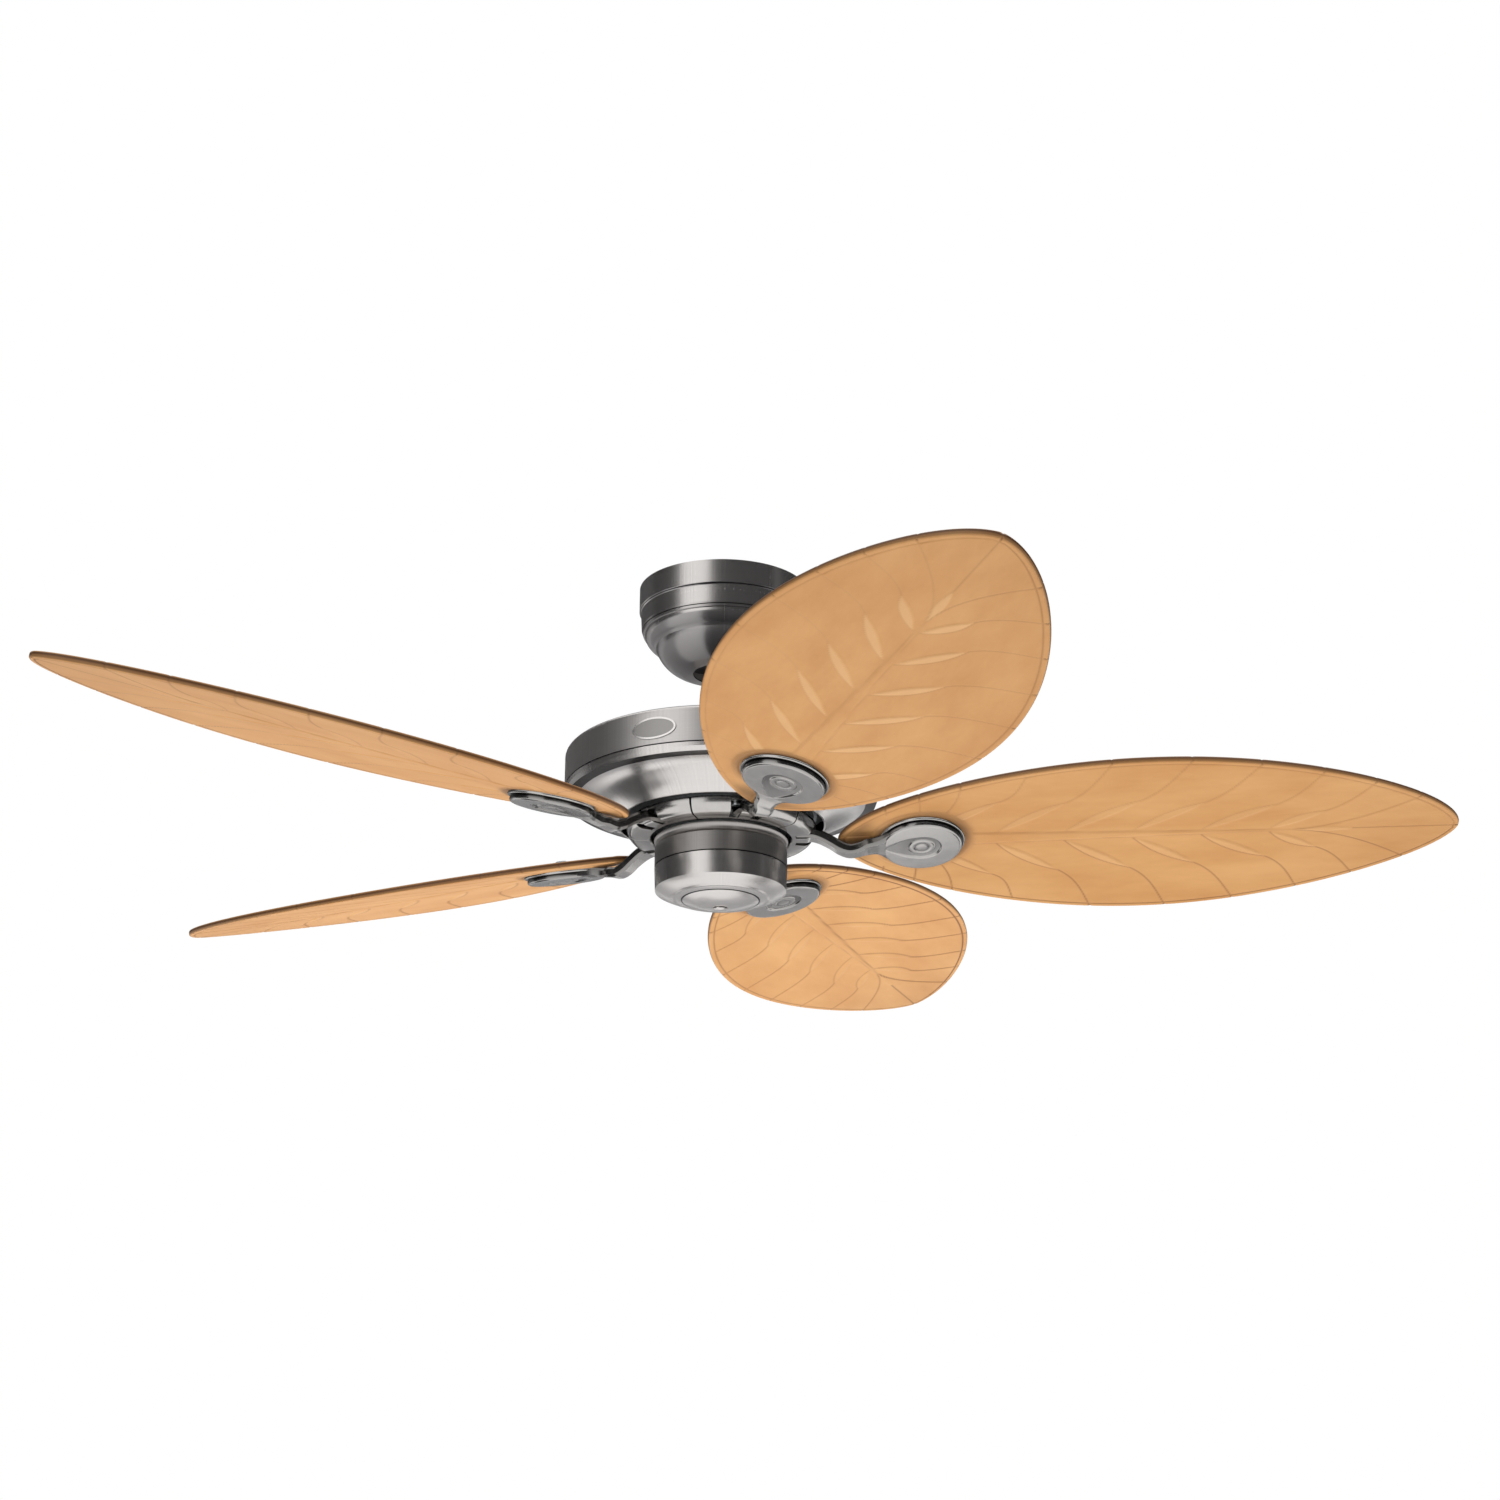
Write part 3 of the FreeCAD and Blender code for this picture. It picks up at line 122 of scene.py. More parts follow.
# Zinc plate over pressed sheet: pale, cloudy, with a faint crystalline mottle of about 6 mm.
zinc, tree, shader = new_material("zinc_plated_steel", Metallic=1.0)
place = node(tree, "ShaderNodeTexCoord").outputs["Object"]
spangle = node(tree, "ShaderNodeTexVoronoi", inputs={"Vector": place, "Scale": 1 / (6 * MM)})
cloud = node(tree, "ShaderNodeTexNoise", inputs={"Vector": place, "Scale": 1 / (25 * MM), "Detail": 3.0})
coat(shader, (cloud.outputs["Fac"], "#9fa3a8", "#c3c5c6"), (spangle.outputs["Distance"], 0.30, 0.44))

dress(zinc, "hanger_bracket", "canopy_screws", "ball_pin", "coupling_pin", "pin_clip",
      "coupling_set_screws")

# Canopy
# A cup spun from steel sheet, turned bright on the lathe and plated with nickel.
# Two screws through its side hold it to the bracket's ears.

# Turned nickel plate: rings of fine lathe lines draw each lamp out along the axis.
# The real lines are about 0.1 mm, and are drawn at 0.8 mm so that they show.
# Faint strokes of the polishing wheel run up the wall.
# Faces turned towards the axis are darker and duller.
# The turned grooves, which lie at these heights in millimetres, get a thin dark line of painted shade.
groove_levels = (-23.4, -42.6, -169.4, -203.2, -212.3, -277.4)
groove_half_width = 0.45
wheel_strokes = 360
inner_facing = -0.25
inner_dullness = 0.4
turned_nickel, tree, shader = new_material("turned_nickel_plate", Metallic=1.0, Anisotropic=0.5)
place = node(tree, "ShaderNodeTexCoord").outputs["Object"]
parts = node(tree, "ShaderNodeSeparateXYZ", inputs={0: place})
flat = node(tree, "ShaderNodeCombineXYZ", inputs={0: parts.outputs[0], 1: parts.outputs[1]})
reach = node(tree, "ShaderNodeVectorMath", {"operation": "LENGTH"}, {0: flat.outputs[0]})
ring = node(tree, "ShaderNodeCombineXYZ", inputs={0: reach.outputs["Value"], 1: parts.outputs[2]})
lines = node(tree, "ShaderNodeTexNoise", {"noise_dimensions": "2D"},
             {"Vector": ring.outputs[0], "Scale": 1 / (0.8 * MM), "Detail": 3.0, "Roughness": 0.65})
round_about = node(tree, "ShaderNodeMath", {"operation": "ARCTAN2"},
                   {0: parts.outputs[1], 1: parts.outputs[0]})
strokes = node(tree, "ShaderNodeTexNoise", {"noise_dimensions": "1D"},
               {"W": round_about.outputs[0], "Scale": wheel_strokes / math.tau, "Detail": 2.0})
cloud = node(tree, "ShaderNodeTexNoise", inputs={"Vector": place, "Scale": 1 / (30 * MM), "Detail": 2.0})
both = node(tree, "ShaderNodeMath", {"operation": "MULTIPLY_ADD"},
            {0: strokes.outputs["Fac"], 1: 1.2, 2: lines.outputs["Fac"]})
level = node(tree, "ShaderNodeMapRange", inputs={0: both.outputs[0], 1: 0.5, 2: 1.7})
tone = node(tree, "ShaderNodeMix", {"data_type": "RGBA"},
            {0: level.outputs[0], 6: linear("#d6d2cf"), 7: linear("#e6e2df")})
rub = node(tree, "ShaderNodeMath", {"operation": "MULTIPLY_ADD"},
           {0: cloud.outputs["Fac"], 1: 0.5, 2: level.outputs[0]})
shine = node(tree, "ShaderNodeMapRange", inputs={0: rub.outputs[0], 1: 0.3, 2: 1.3, 3: 0.20, 4: 0.29})
relief = node(tree, "ShaderNodeBump",
              inputs={"Strength": 0.03, "Distance": 0.1 * MM, "Height": lines.outputs["Fac"]})
turn = node(tree, "ShaderNodeTangent", {"direction_type": "RADIAL", "axis": "Z"})
facing = node(tree, "ShaderNodeVectorTransform",
              {"vector_type": "NORMAL", "convert_from": "WORLD", "convert_to": "OBJECT"},
              {0: node(tree, "ShaderNodeNewGeometry").outputs["True Normal"]})
sideways = node(tree, "ShaderNodeVectorMath", {"operation": "NORMALIZE"}, {0: flat.outputs[0]})
outward = node(tree, "ShaderNodeVectorMath", {"operation": "DOT_PRODUCT"},
               {0: facing.outputs[0], 1: sideways.outputs[0]})
inside = node(tree, "ShaderNodeMath", {"operation": "LESS_THAN"},
              {0: outward.outputs["Value"], 1: inner_facing})
dark = inside
# Painted shade: a thin dark line at each turned groove.
for groove_level in groove_levels:
    groove = node(tree, "ShaderNodeMath", {"operation": "COMPARE"},
                  {0: parts.outputs[2], 1: groove_level * MM, 2: groove_half_width * MM})
    dark = node(tree, "ShaderNodeMath", {"operation": "MAXIMUM"},
                {0: dark.outputs[0], 1: groove.outputs[0]})
plated = node(tree, "ShaderNodeMix", {"data_type": "RGBA"},
              {0: dark.outputs[0], 6: tone.outputs[2], 7: linear("#4a4745")})
dulled = node(tree, "ShaderNodeMath", {"operation": "MULTIPLY_ADD"},
              {0: inside.outputs[0], 1: inner_dullness, 2: shine.outputs[0]})
turned_shine, turned_tone = shine.name, tone.name
feed(shader, Base_Color=plated.outputs[2], Roughness=dulled.outputs[0],
     Normal=relief.outputs[0], Tangent=turn.outputs[0])

dress(turned_nickel, "canopy")

# Hanger ball, downrod and coupling
# A moulded ball on a length of steel pipe, pinned below to a die-cast coupling on the motor's shaft.
# A spun cover slides down the pipe over the coupling.

# Moulded nylon: black, with the fine grain of a spark-eroded mould, about 0.4 mm.
black_nylon, tree, shader = new_material("moulded_black_nylon")
place = node(tree, "ShaderNodeTexCoord").outputs["Object"]
grain = node(tree, "ShaderNodeTexNoise", inputs={"Vector": place, "Scale": 1 / (0.4 * MM), "Detail": 2.0})
coat(shader, (grain.outputs["Fac"], "#131314", "#232325"), (grain.outputs["Fac"], 0.42, 0.58),
     (grain.outputs["Fac"], 0.2, 0.1 * MM))

# Die-cast aluminium: dull grey with a granular skin of about 0.7 mm.
cast_aluminium, tree, shader = new_material("die_cast_aluminium", Metallic=1.0)
place = node(tree, "ShaderNodeTexCoord").outputs["Object"]
grain = node(tree, "ShaderNodeTexNoise", inputs={"Vector": place, "Scale": 1 / (0.7 * MM), "Detail": 3.0})
cloud = node(tree, "ShaderNodeTexNoise", inputs={"Vector": place, "Scale": 1 / (18 * MM), "Detail": 2.0})
coat(shader, (cloud.outputs["Fac"], "#8f9193", "#b3b5b6"), (grain.outputs["Fac"], 0.40, 0.56),
     (grain.outputs["Fac"], 0.25, 0.1 * MM))

dress(black_nylon, "hanger_ball")
dress(turned_nickel, "downrod", "coupling_cover")
dress(cast_aluminium, "coupling")

# Motor housing
# Two shells spun from steel sheet: a flat-topped band, and below it a bevel and a hollow bell.
# Screws through the band hold the shells together, and a bare oval badge is pressed on the front.


def refinished(plate, name, smoothest, roughest):
    """A copy of a turned plate under a name of its own, brushed to between two roughnesses."""
    made = plate.copy()
    made.name = name
    shine = made.node_tree.nodes[turned_shine]
    shine.inputs[3].default_value = smoothest
    shine.inputs[4].default_value = roughest
    return made


# The band has the same plate, brushed instead of polished, so it blurs the lamps to an even grey.
band_nickel = refinished(turned_nickel, "brushed_nickel_plate", 0.30, 0.38)

dress(band_nickel, "upper_housing")
dress(turned_nickel, "lower_housing")

# Nickel plate on the badge: a bright raised border around a field that is etched dull and grey.
# A dark line runs along the wall between the two, and all that lies lower than the field is dark. The
# field's place is its distance from the axis.
badge_field = 147.15 * MM
border_rise = 0.2 * MM
dark_depth = 0.12 * MM
badge_nickel, tree, shader = new_material("etched_nickel_plate", Metallic=1.0)
place = node(tree, "ShaderNodeTexCoord").outputs["Object"]
flat = node(tree, "ShaderNodeVectorMath", {"operation": "MULTIPLY"}, {0: place, 1: (1, 1, 0)})
reach = node(tree, "ShaderNodeVectorMath", {"operation": "LENGTH"}, {0: flat.outputs[0]})
raised = node(tree, "ShaderNodeMapRange",
              inputs={0: reach.outputs["Value"], 1: badge_field, 2: badge_field + border_rise})
etch = node(tree, "ShaderNodeTexNoise", inputs={"Vector": place, "Scale": 1 / (0.6 * MM), "Detail": 2.0})
field = node(tree, "ShaderNodeMix", {"data_type": "RGBA"},
             {0: etch.outputs["Fac"], 6: linear("#aba8a5"), 7: linear("#c4c1be")})
tone = node(tree, "ShaderNodeMix", {"data_type": "RGBA"},
            {0: raised.outputs[0], 6: field.outputs[2], 7: linear("#f0edea")})
on_wall = node(tree, "ShaderNodeMath", {"operation": "COMPARE"}, {0: raised.outputs[0], 1: 0.5, 2: 0.42})
below = node(tree, "ShaderNodeMath", {"operation": "LESS_THAN"},
             {0: reach.outputs["Value"], 1: badge_field - dark_depth})
wall = node(tree, "ShaderNodeMath", {"operation": "MAXIMUM"}, {0: on_wall.outputs[0], 1: below.outputs[0]})
outlined = node(tree, "ShaderNodeMix", {"data_type": "RGBA"},
                {0: wall.outputs[0], 6: tone.outputs[2], 7: linear("#3a3836")})
shine = node(tree, "ShaderNodeMapRange", inputs={0: raised.outputs[0], 3: 0.48, 4: 0.22})
feed(shader, Base_Color=outlined.outputs[2], Roughness=shine.outputs[0])

dress(badge_nickel, "oval_badge")
dress(zinc, "housing_screws", "band_screws")

# Motor
# An outer rotor of laminated steel between two cast bells turns on ball bearings around the wound core.
# The shaft is hollow, stands still, and carries the leads to the switch housing.

# A wave texture's bands lie pi / 10 apart at a scale of 1, so that length over the spacing is the scale.
wave_length = math.pi / 10

# Ground steel: bright, with the wheel's lines around the axis.
# The real lines are about 0.1 mm, and are drawn at 3.77 mm so that they show.
ground_steel, tree, shader = new_material("ground_steel", Metallic=1.0)
place = node(tree, "ShaderNodeTexCoord").outputs["Object"]
lines = node(tree, "ShaderNodeTexWave", {"bands_direction": "Z"},
             {"Vector": place, "Scale": wave_length / (3.77 * MM), "Distortion": 2.0, "Detail": 3.0})
coat(shader, (lines.outputs["Fac"], "#9c9da0", "#c0c1c3"), (lines.outputs["Fac"], 0.18, 0.30))

# Stacked electrical steel: dark sheets of 0.5 mm with a varnish seam between them.
laminated_steel, tree, shader = new_material("laminated_electrical_steel", Metallic=1.0)
place = node(tree, "ShaderNodeTexCoord").outputs["Object"]
sheets = node(tree, "ShaderNodeTexWave", {"bands_direction": "Z"},
              {"Vector": place, "Scale": wave_length / (0.5 * MM), "Distortion": 0.3})
coat(shader, (sheets.outputs["Fac"], "#2a2b2d", "#6c6e71"), (sheets.outputs["Fac"], 0.6, 0.4),
     (sheets.outputs["Fac"], 0.4, 0.1 * MM))

# Enamelled copper wire: glossy red-brown turns of 0.8 mm wound around the axis.
copper_wire, tree, shader = new_material("enamelled_copper_wire", Metallic=0.8)
place = node(tree, "ShaderNodeTexCoord").outputs["Object"]
turns = node(tree, "ShaderNodeTexWave", {"wave_type": "RINGS", "rings_direction": "Z"},
             {"Vector": place, "Scale": wave_length / (0.8 * MM), "Distortion": 1.5, "Detail": 1.0})
coat(shader, (turns.outputs["Fac"], "#5a2715", "#b5673c"), (turns.outputs["Fac"], 0.45, 0.25),
     (turns.outputs["Fac"], 0.6, 0.3 * MM))

dress(ground_steel, "motor_shaft", "upper_bearing", "lower_bearing", "plate_spacer")
dress(laminated_steel, "stator_core", "rotor_ring")
dress(copper_wire, "stator_windings")
dress(cast_aluminium, "upper_bell", "lower_bell")
dress(zinc, "rotor_bolts")

# Blade irons
# Five zinc castings, polished and nickel plated: a ring segment, a cranked arm and a round disc.
# Two screws hold each one under the rotor.

# Polished nickel plate on a casting: smooth, with soft buffing clouds of about 9 mm.
# Painted shade, from a per-point layer, darkens the hollows, the seams, the tops and the sides of the
# casting.
cast_nickel, tree, shader = new_material("buffed_nickel_plate", Metallic=1.0)
place = node(tree, "ShaderNodeTexCoord").outputs["Object"]
cloud = node(tree, "ShaderNodeTexNoise", inputs={"Vector": place, "Scale": 1 / (9 * MM), "Detail": 3.0})
grain = node(tree, "ShaderNodeTexNoise", inputs={"Vector": place, "Scale": 1 / (0.9 * MM), "Detail": 2.0})
tone = node(tree, "ShaderNodeMix", {"data_type": "RGBA"},
            {0: cloud.outputs["Fac"], 6: linear("#bcb9b6"), 7: linear("#d0cdca")})
shade_amount = node(tree, "ShaderNodeAttribute", {"attribute_name": "painted_shade"}).outputs["Fac"]
shaded_tone = node(tree, "ShaderNodeMix", {"data_type": "RGBA"},
                 {0: shade_amount, 6: tone.outputs[2], 7: linear("#383634")})
rub = node(tree, "ShaderNodeMath", {"operation": "MULTIPLY_ADD"},
           {0: grain.outputs["Fac"], 1: 0.5, 2: cloud.outputs["Fac"]})
shine = node(tree, "ShaderNodeMapRange", inputs={0: rub.outputs[0], 1: 0.4, 2: 1.2, 3: 0.15, 4: 0.26})
relief = node(tree, "ShaderNodeBump",
              inputs={"Strength": 0.08, "Distance": 0.1 * MM, "Height": grain.outputs["Fac"]})
feed(shader, Base_Color=shaded_tone.outputs[2], Roughness=shine.outputs[0], Normal=relief.outputs[0])

# Sizes of the casting in millimetres and degrees, with the first blade along +X.
# The arm's chamfer and bevel are shares of its depth and of its width.
iron_seat = -235.0
ring_outer, ring_inner, ring_foot = 88.1, 65.0, 79.0
ring_height = 14.6
ring_round = 1.2
ring_half_section = 6.0
sector_steps = 25
seam_angle = 35.65
notch_inner = 70.0
notch_start, notch_end = 4.65, 11.3
notch_lap = 0.4
flange_left = 4.0
disc_radius, face_radius, disc_thickness = 40.0, 37.4, 8.2
disc_top = -0.45
face_level = disc_top - disc_thickness
flange_depth, flange_round = 2.6, 1.3
groove_depth, groove_radius = 1.2, 36.4
face_round = 2.6
face_crown, crown_radius = 0.4, 35
rosette_radius = 18.6
dish_depth, dish_slope = 1.7, 2
tail_start, tail_length = 6, 30
arm_steps = 72
arm_chamfer, arm_bevel = 0.24, 0.16
panel_lip = 0.4
edge_break = 0.5
sharp_angle = 32
blade_step = 72
blade_pitch, blade_droop = -14.5, -2.085
disc_place = (186, 0, -247.5)
blade_seat = (Matrix.Translation(disc_place) @ Matrix.Rotation(math.radians(blade_droop), 4, "Y")
              @ Matrix.Rotation(math.radians(blade_pitch), 4, "X"))


def skinned(rings, loop=False):
    """Points and faces of a closed skin through rings of points, capped or joined into a loop."""
    rings = np.array(rings, float)
    count, around = rings.shape[:2]
    faces = []
    for step in range(count if loop else count - 1):
        here, there = step * around, (step + 1) % count * around
        for place in range(around):
            after = (place + 1) % around
            faces.append((here + place, here + after, there + after, there + place))
    if not loop:
        faces.append(tuple(range(around))[::-1])
        faces.append(tuple((count - 1) * around + place for place in range(around)))
    return rings.reshape(-1, 3), faces


def turned_rings(outline, angles):
    """The (radius, height) outline stood at each angle about the axis, in degrees."""
    turns = np.radians(angles)
    return [[(r * math.cos(t), r * math.sin(t), z) for r, z in outline] for t in turns]


def eased(knots, values, ask):
    """Values between knots along an even curve."""
    knots, values = np.array(knots, float), np.array(values, float)
    slopes = np.gradient(values, knots, axis=0)
    place = np.clip(np.searchsorted(knots, ask, side="right") - 1, 0, len(knots) - 2)
    width = knots[place + 1] - knots[place]
    t = (ask - knots[place]) / width
    if values.ndim > 1:
        t, width = t[:, None], width[:, None]
    start = (2 * t ** 3 - 3 * t ** 2 + 1) * values[place]
    start_slope = (t ** 3 - 2 * t ** 2 + t) * width * slopes[place]
    end = (-2 * t ** 3 + 3 * t ** 2) * values[place + 1]
    end_slope = (t ** 3 - t ** 2) * width * slopes[place + 1]
    return start + start_slope + end + end_slope


# Root: a sector of ring with a rounded outer face, cut to a thin flange on both sides of the arm.
foot = iron_seat - ring_height
ring_top = [(ring_inner, iron_seat), (ring_outer - ring_round, iron_seat)]
face_arc = [(ring_foot + (ring_outer - ring_foot) * math.sqrt(1 - k * k),
             iron_seat - ring_round - (ring_height - ring_round) * k) for k in np.linspace(0, 1, 14)]
flange_cut = [(ring_outer, iron_seat - ring_round), (ring_outer, iron_seat - flange_left),
              (notch_inner, iron_seat - flange_left), (notch_inner, foot)]
ring_bottom = [(ring_inner + ring_round, foot), (ring_inner, foot + ring_round)]
full = ring_top + face_arc + ring_bottom
cut = ring_top + flange_cut + ring_bottom

# Painted shade around the full outline: darker on top, none over the buffed face, and dark inside.
# The cut outline has one painted shade all around, and the ends of a sector are painted nearly black as the
# seams' shadow.
full_shade = [0.7, 0.7] + list(np.linspace(0.4, 0.0, 4)) + [0.0] * 9 + [0.2] + [0.35, 0.8]
cut_shade = [0.45] * len(cut)
end_shade = 0.95


def sector(outline, start, end, shade_share):
    """A closed sector of ring between two angles, its end edges broken, and the painted shade at its points.
    """
    middle = np.mean(outline, axis=0)
    shrink = 1 - edge_break / ring_half_section
    small = [tuple(middle + (np.array(p) - middle) * shrink) for p in outline]
    lean = math.degrees(edge_break / ring_outer)
    angles = np.linspace(start + lean, end - lean, sector_steps)
    sides = turned_rings(outline, angles)
    skin = skinned(turned_rings(small, [start]) + sides + turned_rings(small, [end]))
    ends = [end_shade] * len(outline)
    return *skin, ends + shade_share * len(angles) + ends


castings = [sector(full, -notch_start, notch_start, full_shade)]
for start, end in ((-seam_angle, -notch_end), (notch_end, seam_angle)):
    castings.append(sector(full, start, end, full_shade))
for start, end in ((-notch_end, -notch_start), (notch_start, notch_end)):
    castings.append(sector(cut, start - notch_lap, end + notch_lap, cut_shade))

# Disc: a flange against the blade, a groove, and a face with a recess that tails off to the arm.
# In the recess stand a ring and a button. The outlines end just beside the axis, so no face folds up.
flange = disc_top - flange_depth
groove = flange - groove_depth
axis_gap = 0.02
round_edge = [(face_radius - face_round * (1 - math.cos(a)), face_level + face_round * (1 - math.sin(a)))
              for a in np.linspace(0, math.pi / 2, 8)]
flange_edge = [(disc_radius - flange_round + flange_round * math.cos(a),
                (disc_top + flange) / 2 + flange_round * math.sin(a))
               for a in np.linspace(math.pi / 2, -math.pi / 2, 9)]
groove_walls = [(groove_radius, flange), (groove_radius, groove), (face_radius, groove)]
rim = [(axis_gap, disc_top)] + flange_edge + groove_walls + round_edge
disc_rim_shades = ([0.9] + list(np.linspace(0.8, 0.0, 5)) + [0.0, 0.1, 0.3, 0.8] + [1, 1, 0.9]
              + list(np.linspace(0.5, 0, 8)))
boss_radii = (axis_gap, 3.2, 4.8, 6.1, 6.5, 7.3, 7.8, 8.6, 10.4, 11.3, 11.9, 12.6)
boss_depths = (0.62, 0.64, 0.72, 0.92, 0.95, 0.74, 0.63, 0.56, 0.56, 0.64, 0.88, dish_depth)
boss_shades = (0, 0, 0.1, 0.5, 0.55, 0.28, 0.05, 0, 0, 0.08, 0.25, 0.45)
face_radii = np.concatenate([np.linspace(34.2, 20, 25), np.linspace(19.5, 13.2, 20), boss_radii[::-1]])
disc_steps = 160
# Painted shade on the disc: on the flange's top, in the groove, on the recess's wall heavier towards -y, and
# in rings on the boss.
rings, shade_values = [], []
for turn in np.linspace(0, math.tau, disc_steps + 1)[:-1]:
    ring = [(r * math.cos(turn), r * math.sin(turn), z) for r, z in rim]
    shade_values += disc_rim_shades
    for r in face_radii:
        x, y = r * math.cos(turn), r * math.sin(turn)
        tail = min(1.0, max(0.0, -x - tail_start) / tail_length)
        reach = math.hypot(max(x, -tail_start), y / max(0.08, 1 - tail ** 1.5))
        sink = min(1.0, max(0.0, (rosette_radius - reach) / dish_slope))
        depth = dish_depth * sink * sink * (3 - 2 * sink) * (1 - tail)
        shade_share = 0.6 * math.sin(math.pi * min(sink, 0.55) / 1.1) * (0.62 - 0.38 * y / r) * (1 - 0.4 * tail)
        if r <= boss_radii[-1]:
            depth = float(np.interp(r, boss_radii, boss_depths))
            shade_share = float(np.interp(r, boss_radii, boss_shades))
        shade_values.append(shade_share)
        ring.append((x, y, face_level + depth - face_crown * (1 - (r / crown_radius) ** 2)))
    rings.append(ring)
points, faces = skinned(rings, loop=True)
castings.append(([blade_seat @ Vector(p) for p in points], faces, shade_values))

# Arm: a chamfered bar that leaves the ring, drops to a bend, and flares into the disc's face.
# A station has a middle, a width, a depth and a share of the blade's pitch.
# On the disc it is given by its distance from the disc's middle and by how far it stands out of the face.
stations = [
    ((70, 0, -243.6), 22.0, 9.0, 0.0),
    ((88, 0, -244.4), 19.0, 9.2, 0.0),
    ((103.3, 0, -251.4), 16.4, 9.4, 0.05),
    ((111.5, 0, -256.6), 16.8, 9.4, 0.12),
    ((119.5, 0, -259.2), 17.2, 9.2, 0.25),
    ((128.0, 0, -257.8), 18.0, 9.0, 0.48),
]
for x, width, depth, proud in ((-51.5, 18.8, 8.8, 2.7), (-45.0, 20.4, 8.6, 1.5), (-40.5, 23.4, 8.2, 0.8),
                               (-37.0, 28.5, 7.6, 0.4), (-33.5, 36.0, 6.6, 0.0), (-29.5, 45.0, 5.0, -0.7)):
    centre = blade_seat @ Vector((x, 0, face_level - proud + depth / 2))
    stations.append((tuple(centre), width, depth, 1.0))
gaps = [(Vector(b[0]) - Vector(a[0])).length for a, b in zip(stations, stations[1:])]
knots = np.concatenate([[0], np.cumsum(gaps)])
ask = np.linspace(0, knots[-1], arm_steps)
middles = eased(knots, [station[0] for station in stations], ask)
widths, depths, twists = [eased(knots, [station[k] for station in stations], ask) for k in (1, 2, 3)]
# Painted shade on the arm: its top and sides darker, the middle of its lower panel left clear.
arm_shades = [0.7, 0.8, 0.8, 0.7, 0.6, 0.5, 0.0, 0.0, 0.5, 0.6]
rings = []
for place, middle in enumerate(middles):
    ahead = Vector(middles[min(place + 1, arm_steps - 1)] - middles[max(place - 1, 0)]).normalized()
    side = Matrix.Rotation(math.radians(blade_pitch * twists[place]), 3, ahead) @ Vector((0, 1, 0))
    lift = ahead.cross(side)
    half, rise = widths[place] / 2, depths[place] / 2
    cham = arm_chamfer * depths[place]
    panel = half - arm_bevel * widths[place]
    corners = [(half, rise - cham), (half - cham, rise), (cham - half, rise), (-half, rise - cham),
               (-half, cham - rise), (-panel, -rise), (panel_lip - panel, -rise),
               (panel - panel_lip, -rise), (panel, -rise), (half, cham - rise)]
    rings.append([Vector(middle) + side * across + lift * up for across, up in corners])
castings.append((*skinned(rings), arm_shades * len(rings)))

points, faces, shade_values = [], [], []
for casting_points, casting_faces, casting_shades in castings:
    start = len(points)
    points += [Vector(p) * MM for p in casting_points]
    faces += [tuple(start + k for k in face) for face in casting_faces]
    shade_values += casting_shades
iron_mesh = bpy.data.meshes.new("blade_iron")
iron_mesh.from_pydata(points, [], faces)
iron_mesh.polygons.foreach_set("use_smooth", [True] * len(faces))
iron_mesh.set_sharp_from_angle(angle=math.radians(sharp_angle))
painted_shade = iron_mesh.attributes.new("painted_shade", "FLOAT", "POINT")
painted_shade.data.foreach_set("value", np.array(shade_values, np.float32))
iron_mesh.materials.append(cast_nickel)

spins = {number: Matrix.Rotation(math.radians(blade_step * (number - 1)), 4, "Z") for number in range(1, 6)}
for number, spin in spins.items():
    iron = bpy.data.objects.new(f"cast_iron_{number}", iron_mesh)
    bpy.context.scene.collection.objects.link(iron)
    iron.matrix_world = spin
    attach(iron, "rotor")
    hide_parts(f"blade_iron_{number}")
dress(zinc, "iron_screws")

# Blades
# Five leaves moulded in weatherproof resin, with a raised midrib, leaflets and scored veins on each face.
# Each lies on its iron's disc, held by three screws through rubber grommets.

# Sizes of a leaf in millimetres: along it from the disc's middle, and across it from the midrib.
leaf_start = -77.65
leaf_length = 577.75
leaf_half_width = 124.5
leaf_thickness = 6.0
camber_radius = 2260.0
rim_round = 2.2
rim_line_inset = 5.6
midrib_half_width = 9.4
midrib_root = 35.0
midrib_end = 345.0
midrib_height = 0.8
leaflet_width, leaflet_shift, leaflet_arch = 10.5, 4.0, 6.5
vein_width = 0.85
vein_step, vein_rise, vein_fade = 0.4, 1.4, 7
vein_reach = 18
tip_leaflet_half, tip_leaflet_length, tip_leaflet_height = 4.0, 60, 0.6
tip_line_start = 400
pad_height = 0.9
pad_rise, pad_fall = (41.0, 42.5), (45.5, 48.5)
relief_below, relief_above = (47.5, 49.5), (32, 36)
# A vein leaves the midrib as a leaflet, turns at the leaflet's point and runs to the edge.
leaflet_veins = (
    ((8, 14), (69, 62), (89, 98)),
    ((70, 9.5), (131, 58), (164, 116)),
    ((133, 7.5), (199, 57.5), (236, 118)),
    ((197, 6.5), (259, 52), (300, 110)),
    ((261, 5), (325, 44.5), (360, 96)),
    ((324, 3), (371, 31), (411, 77)),
)
plain_veins = (
    ((346, 0.5), (381, 8), (416, 24), (457, 52)),
    ((19, 41), (28, 62), (32, 92)),
    ((-3, 46), (-4, 60), (-5, 75)),
    ((-34, 44), (-35, 52), (-37, 60)),
)


def leaf_half(share):
    """Half width of the leaf at a share of its length, in millimetres."""
    m = 2 * share - 1
    swell = 1 - 0.009 * m - 0.154 * m ** 2 - 0.023 * m ** 3 + 0.055 * m ** 4
    return leaf_half_width * np.maximum(4 * share * (1 - share), 0) ** 0.6 * swell


def smooth_step(low, high, value):
    """0 below low, 1 above high, and an even curve between them."""
    x = np.clip((value - low) / (high - low), 0, 1)
    return x * x * (3 - 2 * x)


